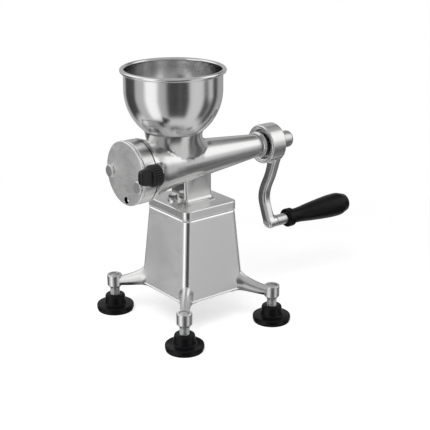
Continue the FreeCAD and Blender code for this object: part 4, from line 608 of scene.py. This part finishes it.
# Clamp knob: a ridged wheel with a grip bar across its face.
# Black nylon moulded round a brass insert, screwed on the stud of the clamp ear.
KNOB_SPOT = np.array([-82.3, -49.6, 209])
KNOB_RADIUS, KNOB_BACK, KNOB_RIM, INSERT_BORE, BORE_END, BORE_EASE = 12.4, -0.05, 12.2, 4.83, -15.7, 0.3
KNOB_RIDGES, RIDGE_DEPTH, RIDGE_INSET, RIDGE_FADE, RIDGE_FLAT, RIDGE_POWER = 26, 1.15, 3, 2.5, 0.3, 1.5
WING_RISE, WING_SINK, WING_SQUARE, WING_EASE, EASE_START = 12.4, 0.5, 0.45, 0.25, 0.8
WING_BAR, BAR_TAPER, BAR_WAIST, WING_SPAN, SPAN_TAPER = 6, 1.5, 0.6, 10.5, 2.4
knob_black = moulded("knob_nylon", (0.01, 0.01, 0.0105), (0.016, 0.016, 0.0175), (0.22, 0.3),
                     1300.0, 0.00003, 0.3)


def wing_grid():
    """Grip bar across the knob: rounded rectangles that grow narrower toward an eased end.

    Each rectangle's sides are a small power of cosine and sine. The bar is waisted by half a sine wave.
    """
    share = np.linspace(0, 1, 16)[:, None]
    angle = np.linspace(0, 2 * math.pi, 64, endpoint=False)
    across, along = (np.sign(wave) * np.abs(wave) ** WING_SQUARE for wave in (np.cos(angle), np.sin(angle)))
    late = np.clip((share - EASE_START) / (1 - EASE_START), 0, 1)
    shrink = np.sqrt(1 - late ** 2) * WING_EASE + 1 - WING_EASE
    half_bar = (WING_BAR - BAR_TAPER * share - BAR_WAIST * np.sin(math.pi * share)) * shrink
    half_span = (WING_SPAN - SPAN_TAPER * share) * shrink
    front = WING_SINK - KNOB_RIM - (WING_RISE + WING_SINK) * share
    return with_ends(np.stack(np.broadcast_arrays(front, half_bar * across, half_span * along), axis=-1))


bore_profile = [(0, BORE_END)] + [(share * INSERT_BORE, BORE_END) for share in (0.02, 0.5, 0.98)]
bore_profile += [(INSERT_BORE, BORE_END + BORE_EASE)]
wheel_profile = rounded([(INSERT_BORE, KNOB_BACK, 0), (KNOB_RADIUS, KNOB_BACK, 1),
                         (KNOB_RADIUS, -KNOB_RIM, 2.4), (0, -KNOB_RIM, 0)])
knob_profile = np.vstack((bore_profile, wheel_profile))
knob_turn = np.linspace(0, 2 * math.pi, KNOB_RIDGES * 12, endpoint=False)
wave = 0.5 + 0.5 * np.cos(KNOB_RIDGES * knob_turn)
groove = np.clip((1 + RIDGE_FLAT) * wave - RIDGE_FLAT, 0, 1) ** RIDGE_POWER
reach = np.clip((knob_profile[:, :1] - KNOB_RADIUS + RIDGE_INSET) / RIDGE_FADE, 0, 1)
knob_ring = knob_profile[:, :1] - RIDGE_DEPTH * reach * groove
wheel = np.stack(np.broadcast_arrays(knob_profile[:, 1:], knob_ring * np.cos(knob_turn),
                                     knob_ring * np.sin(knob_turn)), axis=-1)
knob = skin("knob_moulded", wheel + KNOB_SPOT, wing_grid() + KNOB_SPOT)
fit(knob, knob_black, "knob", "black_plastic", "clamp_knob")

# Crank: a round hub with a bent arm that curves into the grip's spindle.
# Cast aluminium, satin polished, driven by the shaft's square and held by the cap nut.
CRANK_VOXEL, CRANK_PASSES = 0.0007, 6
HUB_REAR, HUB_RADIUS, HUB_BORE, GRIP_Z, ARM_BOSS, SHOULDER_RADIUS = 128.8, 24.3, 12, 93.5, 4, 7.2
ARM_DEPTH, ARM_EYE, ARM_LEAN = 11.4, 7.7, math.tan(math.radians(21))
ARM_SWING, SWING_START, SWING_REACH, HEEL_RISE, HEEL_CUT = 0.19, 6, 82, 8, 4.4
WEB_RISE, WEB_WIDTH, WEB_TIP, WEB_ROOT, WEB_SINK = 10, 5.4, 3, 2, 4


def spindle_web():
    """Web between the arm's rear face and the spindle's boss.

    Its section is a triangle with a hollow quarter ellipse as its long side. Rows carry it across the arm,
    which leans, and the first and last row shrink to a point.
    """
    angle = np.linspace(0, math.pi / 2, 12)
    back = np.concatenate((ARM_BOSS * (1 - np.cos(angle)), [ARM_BOSS, -WEB_ROOT, -WEB_ROOT]))
    rise = np.concatenate((WEB_RISE * (1 - np.sin(angle)), [-WEB_SINK, -WEB_SINK, WEB_RISE]))
    rise = rise + SHOULDER_RADIUS
    half = WEB_WIDTH + (WEB_TIP - WEB_WIDTH) * np.clip(back / ARM_BOSS, 0, 1)
    row = np.linspace(-1, 1, 9)[:, None]
    loop = np.stack(np.broadcast_arrays(back, row * half + ARM_LEAN * rise, rise), axis=-1)
    return with_ends(loop) + np.array([HUB_REAR, 0, GRIP_Z])


def ease(share):
    """Soft step from 0 to 1: three times the square less twice the cube."""
    share = np.clip(share, 0, 1)
    return share ** 2 * (3 - 2 * share)


def bend_arm(mesh):
    """Swings the arm's root round the hub and hollows its heel.

    The turn about the shaft fades in outside the hub's bore and out along the arm, and the round hub doesn't
    show it. Below the spindle the front face falls back along a quarter ellipse.
    """
    hub = np.array([HUB_REAR, 0, AXIS_Z])
    x, y, z = ((vectors(mesh.vertices, "co") - MIDDLE) / MM - hub).T
    reach = np.hypot(y, z)
    fade = 1 - ease((reach - HUB_RADIUS) / (SWING_REACH - HUB_RADIUS))
    angle = np.arctan2(y, -z) - ARM_SWING * ease((reach - HUB_BORE) / SWING_START) * fade
    heel = np.clip((GRIP_Z + HEEL_RISE - AXIS_Z - z) / (ARM_EYE + HEEL_RISE), 0, 1)
    x = x + HEEL_CUT * (1 - np.sqrt(1 - heel ** 2)) * np.clip(-x / ARM_DEPTH, 0, 1)
    bent = np.column_stack((x, reach * np.sin(angle), -reach * np.cos(angle))) + hub
    mesh.vertices.foreach_set("co", (bent * MM + MIDDLE).ravel())
    mesh.update()


def cast_copy(node, name, web):
    """Copy of a solid's mesh joined with a web, remade of small even faces with softened corners.

    Each pass of softening moves every point halfway to the mean of its neighbours.
    """
    item = merged_copy(node, name)
    work = bmesh.new()
    work.from_mesh(item.data)
    work.from_mesh(web.data)
    work.to_mesh(item.data)
    work.free()
    bpy.data.objects.remove(web)
    even = item.modifiers.new("even_faces", "REMESH")
    even.mode, even.voxel_size, even.use_smooth_shade = "VOXEL", CRANK_VOXEL, True
    soft = item.modifiers.new("soft_corners", "SMOOTH")
    soft.factor, soft.iterations = 0.5, CRANK_PASSES
    mesh = bpy.data.meshes.new_from_object(item.evaluated_get(bpy.context.evaluated_depsgraph_get()))
    item.modifiers.clear()
    item.data = mesh
    mesh.name = name
    mesh.shade_smooth()
    return item


crank = cast_copy("crank_arm", "crank_cast", skin("crank_web", spindle_web()))
bend_arm(crank.data)
fit(crank, body_metal, "crank", "crank_metal", "crank_arm")

# Cap nut: a round nut with a domed end.
# Turned stainless steel, tightened on the thread of the feed screw against a washer.
NUT_RADIUS, NUT_LENGTH, NUT_BORE, NUT_DEPTH, NUT_FRONT = 10.7, 24.4, 5.03, 19.4, 130.3
nut_profile = rounded([
    (0, NUT_DEPTH, 0), (NUT_BORE, NUT_DEPTH, 0.3), (NUT_BORE, 0, 0.2), (NUT_RADIUS, 0, 0.8),
    (NUT_RADIUS, NUT_LENGTH, 6), (0, NUT_LENGTH, 0)], 10)
nut = skin("nut_domed", turned(nut_profile, (NUT_FRONT, 0, AXIS_Z), axis="X"))
fit(nut, bright_steel, "crank", "crank_nut_metal", "crank_nut")

# Handle pin: a shouldered spindle for the grip.
# Turned steel, pressed into the arm's eye, with a groove for the clip that keeps the grip on.
PIN_RADIUS, PIN_END, PIN_SHOULDER, CLIP, GRIP_PLAY = 5, -8.4, 22, 82, 0.2
clip_x = PIN_SHOULDER + GRIP_PLAY + CLIP
groove_front, groove_rear, groove_radius, pin_tail = clip_x + 0.3, clip_x + 1.7, PIN_RADIUS - 1, clip_x + 5
pin_profile = rounded([
    (0, PIN_END, 0), (PIN_RADIUS, PIN_END, 0.6), (PIN_RADIUS, ARM_BOSS, 0.2),
    (SHOULDER_RADIUS, ARM_BOSS, 0.3), (SHOULDER_RADIUS, PIN_SHOULDER, 0.6), (PIN_RADIUS, PIN_SHOULDER, 0.2),
    (PIN_RADIUS, groove_front, 0.1), (groove_radius, groove_front, 0.1), (groove_radius, groove_rear, 0.1),
    (PIN_RADIUS, groove_rear, 0.1), (PIN_RADIUS, pin_tail, 0.5), (0, pin_tail, 0)], 4)
pin = skin("pin_turned", turned(pin_profile, (HUB_REAR, 0, GRIP_Z), axis="X", segments=64))
fit(pin, bright_steel, "crank", "crank_metal", "handle_pin")

# Grip: a pear-shaped handle with a collar, and the plug that closes its end.
# Black phenolic moulding, satin, turning freely on the handle pin.
GRIP_SPOT, GRIP_LENGTH, GRIP_BORE = (151, 0, GRIP_Z), 106, 5.06
COLLAR, COLLAR_LENGTH, COLLAR_SLOPE, NECK_LENGTH = 12, 9, 1.2, 4
GRIP_NECK, GRIP_BULGE, GRIP_END, END_RADIUS, BORE_MIDDLE = 9.5, 15.3, 99.5, 13.0, 60
PLUG_RADIUS, PLUG_PLAY, PLUG_FRONT = 7.5, 0.03, 94
grip_black = moulded("grip_phenolic", (0.003, 0.003, 0.0035), (0.006, 0.006, 0.007), (0.2, 0.27),
                     700.0, 0.00002)


def smooth_line(knots, steps):
    """Smooth curve through knots (along, radius): cubic pieces with the mean slope of both neighbours."""
    along, radius = np.array(knots, float).T
    slope = np.gradient(radius, along)
    x = np.linspace(along[0], along[-1], steps)
    k = np.clip(np.searchsorted(along, x) - 1, 0, len(along) - 2)
    gap = along[k + 1] - along[k]
    t = (x - along[k]) / gap
    value = ((2 * t ** 3 - 3 * t ** 2 + 1) * radius[k] + (t ** 3 - 2 * t ** 2 + t) * gap * slope[k]
             + (3 * t ** 2 - 2 * t ** 3) * radius[k + 1] + (t ** 3 - t ** 2) * gap * slope[k + 1])
    return np.column_stack((value, x))


collar = rounded([(GRIP_BORE, BORE_MIDDLE, 0), (GRIP_BORE, 0, 0.4), (COLLAR, 0, 1.7),
                  (COLLAR, COLLAR_LENGTH, 1.7), (GRIP_NECK, COLLAR_LENGTH + COLLAR_SLOPE, 0.5),
                  (GRIP_NECK, COLLAR_LENGTH + NECK_LENGTH, 0)])[:-2]
swell = smooth_line([(10.5, GRIP_NECK + 0.15), (15, GRIP_NECK), (42.4, GRIP_NECK + 2.6), (65, 14.3),
                     (82.7, GRIP_BULGE), (93, 14.9), (GRIP_END, END_RADIUS)], 60)
end = rounded([(END_RADIUS, GRIP_END, 0), (11.2, GRIP_LENGTH, 5), (PLUG_RADIUS, GRIP_LENGTH, 0.3),
               (PLUG_RADIUS + PLUG_PLAY, PLUG_FRONT, 0)])[1:]
bore_step = [[PLUG_RADIUS + PLUG_PLAY, CLIP], [GRIP_BORE, CLIP]]
grip_profile = np.vstack((collar, swell[1:], end, bore_step))
grip = skin("grip_moulded", (turned(grip_profile, GRIP_SPOT, axis="X", segments=128), True))
fit(grip, grip_black, "grip", "grip_black", "handle_grip")
plug_profile = rounded([(0, PLUG_FRONT, 0), (PLUG_RADIUS, PLUG_FRONT, 0.4), (PLUG_RADIUS, GRIP_LENGTH, 0.7),
                        (0, GRIP_LENGTH, 0)])
plug = skin("plug_moulded", turned(plug_profile, GRIP_SPOT, axis="X", segments=64))
fit(plug, grip_black, "grip", "grip_black", "grip_plug")

# Reflection dome: grey and white cards that the polished metal mirrors.
# They stand all round, out of the camera's sight, and light nothing themselves.
DOME_RADIUS, ROOM_SHADE, SOFT_COLUMNS, SOFT_ROWS = 3.0, 0.5, 3, 5
CAMERA_TURN = math.radians(37.93)
# Each card: left and right bearing from the camera, lower and upper height, in degrees, and its tone.
CARDS = [
    (-180, -137, -66, 10, 0.5), (-137, -94, -66, 10, 0.95), (-137, -94, -34, 2, 0.06),
    (-94, -65, -66, 60, 0.55), (-65, -34, -66, 55, 1.2), (-34, -13, -66, 60, 0.48), (-13, 39, -66, 12, 0.06),
    (15, 20, -66, 12, 0.13), (39, 84, -66, 14, 0.72), (80, 106, -66, 14, 0.62), (76, 90, -46, -4, 0.08),
    (90, 98, -46, -15, 0.13), (98, 105, -46, -15, 0.3), (105, 123, -50, 10, 0.07), (123, 180, -66, 6, 0.42),
    (74, 116, 14, 52, 1.25), (-125, -72, 14, 58, 1.2), (128, 162, 26, 46, 0.14), (-180, -166, -66, 4, 0.12),
    (166, 180, -66, 2, 0.12), (-180, 180, -72, -50, 0.7), (-180, 180, -90, -72, 0.3)]


def soft_tones(bearing, height):
    """Tones of the dome over a grid of degrees: each card over those before it, its borders blurred.

    The blur is a plain mean over a few degrees to each side, then over a few degrees up and down.
    """
    tones = np.full(bearing.shape, ROOM_SHADE)
    for left, right, bottom, top, tone in CARDS:
        tones[(bearing >= left) & (bearing < right) & (height >= bottom) & (height <= top)] = tone
    shifts = range(-SOFT_COLUMNS, SOFT_COLUMNS + 1)
    tones = sum(np.roll(tones, shift, axis=1) for shift in shifts) / len(shifts)
    rows, shifts = np.arange(len(tones)), range(-SOFT_ROWS, SOFT_ROWS + 1)
    return sum(tones[np.clip(rows + shift, 0, rows[-1])] for shift in shifts) / len(shifts)


def bare_tree(block):
    """Node tree of a new material or world, with nothing in it."""
    block.use_nodes = True
    block.node_tree.nodes.clear()
    return block.node_tree


bearing, height = np.meshgrid(np.arange(-180, 180, 1.0), np.arange(-90, 90.1, 1.0))
tones = soft_tones(bearing, height)
around, up = CAMERA_TURN - np.radians(bearing), np.radians(height)
dome = np.stack((-np.sin(around) * np.cos(up), -np.cos(around) * np.cos(up), np.sin(up)), axis=-1)
cards = skin("studio_cards", dome * DOME_RADIUS / MM)
x, y, z = ((vectors(cards.data.vertices, "co") - MIDDLE) / DOME_RADIUS).T
row = np.rint(np.degrees(np.arcsin(np.clip(z, -1, 1))) + 90).astype(int)
column = np.rint(np.degrees(CAMERA_TURN - np.arctan2(-x, -y)) + 180).astype(int) % 360
mark_points(cards, "shade", tones[row, column])
card = bpy.data.materials.new("studio_card")
tree = bare_tree(card)
tone = add(tree, "ShaderNodeAttribute", attribute_name="shade")
glow = add(tree, "ShaderNodeEmission", {"Color": (1, 1, 1, 1), "Strength": tone.outputs["Fac"]})
add(tree, "ShaderNodeOutputMaterial", {"Surface": glow.outputs["Emission"]})
card.cycles.emission_sampling = "NONE"
cards.data.materials.append(card)
cards.visible_camera = cards.visible_diffuse = cards.visible_shadow = False

# Table: a white disc under the feet, which shows the object's shadow.
# Matt paper that glows to the camera, more toward its edge, so that it goes over into the white room.
TABLE_RADIUS, TABLE_THICKNESS, TABLE_DROP, PAPER = 620, 2, 0.05, 0.6
NEAR, FAR, NEAR_GLOW, FAR_GLOW = 0.3, 0.8, 0.59, 0.85


def seen_plainly(tree):
    """1 for rays from the camera, off gloss and through glass, 0 for the rays that light surfaces."""
    path = add(tree, "ShaderNodeLightPath").outputs
    seen = combine(tree, "MAXIMUM", path["Is Camera Ray"], path["Is Glossy Ray"])
    return combine(tree, "MAXIMUM", seen, path["Is Transmission Ray"])


table_profile = np.array([[0, 0], [TABLE_RADIUS, 0], [TABLE_RADIUS, -TABLE_THICKNESS], [0, -TABLE_THICKNESS]])
table = skin("table_top", turned(table_profile, (0, 0, -TABLE_DROP)))
table_white = bpy.data.materials.new("table_white")
tree = bare_tree(table_white)
place = add(tree, "ShaderNodeTexCoord")
distance = add(tree, "ShaderNodeVectorMath", {0: place.outputs["Object"]}, operation="LENGTH")
paler = spread(tree, distance.outputs["Value"], NEAR_GLOW, FAR_GLOW, NEAR, FAR)
glow = add(tree, "ShaderNodeEmission", {"Strength": combine(tree, "MULTIPLY", seen_plainly(tree), paler)})
paper = add(tree, "ShaderNodeBsdfDiffuse", {"Color": (PAPER, PAPER, PAPER, 1)})
both = add(tree, "ShaderNodeAddShader", {0: paper.outputs[0], 1: glow.outputs[0]})
add(tree, "ShaderNodeOutputMaterial", {"Surface": both.outputs[0]})
table_white.cycles.emission_sampling = "NONE"
table.data.materials.append(table_white)
table.visible_glossy = False

# Light: a white room, and one large soft lamp high on the camera's left.
# The room is plain white to the camera and to reflections, and lights the object softly.
ROOM_LIGHT, LAMP_SIZE, LAMP_POWER, LAMP_PLACE, LAMP_TILT = 0.55, 0.9, 14, (-0.7, -0.5, 1.3), (22, -28, 0)
world = bpy.data.worlds.new("white_room")
bpy.context.scene.world = world
tree = bare_tree(world)
room = spread(tree, seen_plainly(tree), ROOM_LIGHT, 1, 0, 1)
white = add(tree, "ShaderNodeBackground", {"Color": (1, 1, 1, 1), "Strength": room})
add(tree, "ShaderNodeOutputWorld", {"Surface": white.outputs[0]})
lamp = bpy.data.lights.new("soft_lamp", "AREA")
lamp.shape, lamp.size, lamp.size_y, lamp.energy = "RECTANGLE", LAMP_SIZE, LAMP_SIZE, LAMP_POWER
lamp_stand = new_item("soft_lamp", lamp)
lamp_stand.visible_glossy = False
lamp_stand.location = LAMP_PLACE
lamp_stand.rotation_euler = np.radians(LAMP_TILT)

# Camera: the photograph's place, to the left of the clamp side and above the bowl's middle.
# A long lens on a square frame, with no shift.
CAMERA_PLACE, CAMERA_DROP, LENS, SENSOR = np.array([-0.73455, -0.98786, 0.56472]), 19.44, 90.93, 36
view = bpy.data.cameras.new("photo_view")
view.lens, view.sensor_width = LENS, SENSOR
view.clip_start, view.clip_end = 0.05, 50
tripod = new_item("photo_view", view)
tripod.location = MIDDLE + CAMERA_PLACE
tripod.rotation_euler = (math.radians(90 - CAMERA_DROP), 0, -CAMERA_TURN)
bpy.context.scene.camera = tripod
bpy.context.scene.view_settings.view_transform = "Standard"
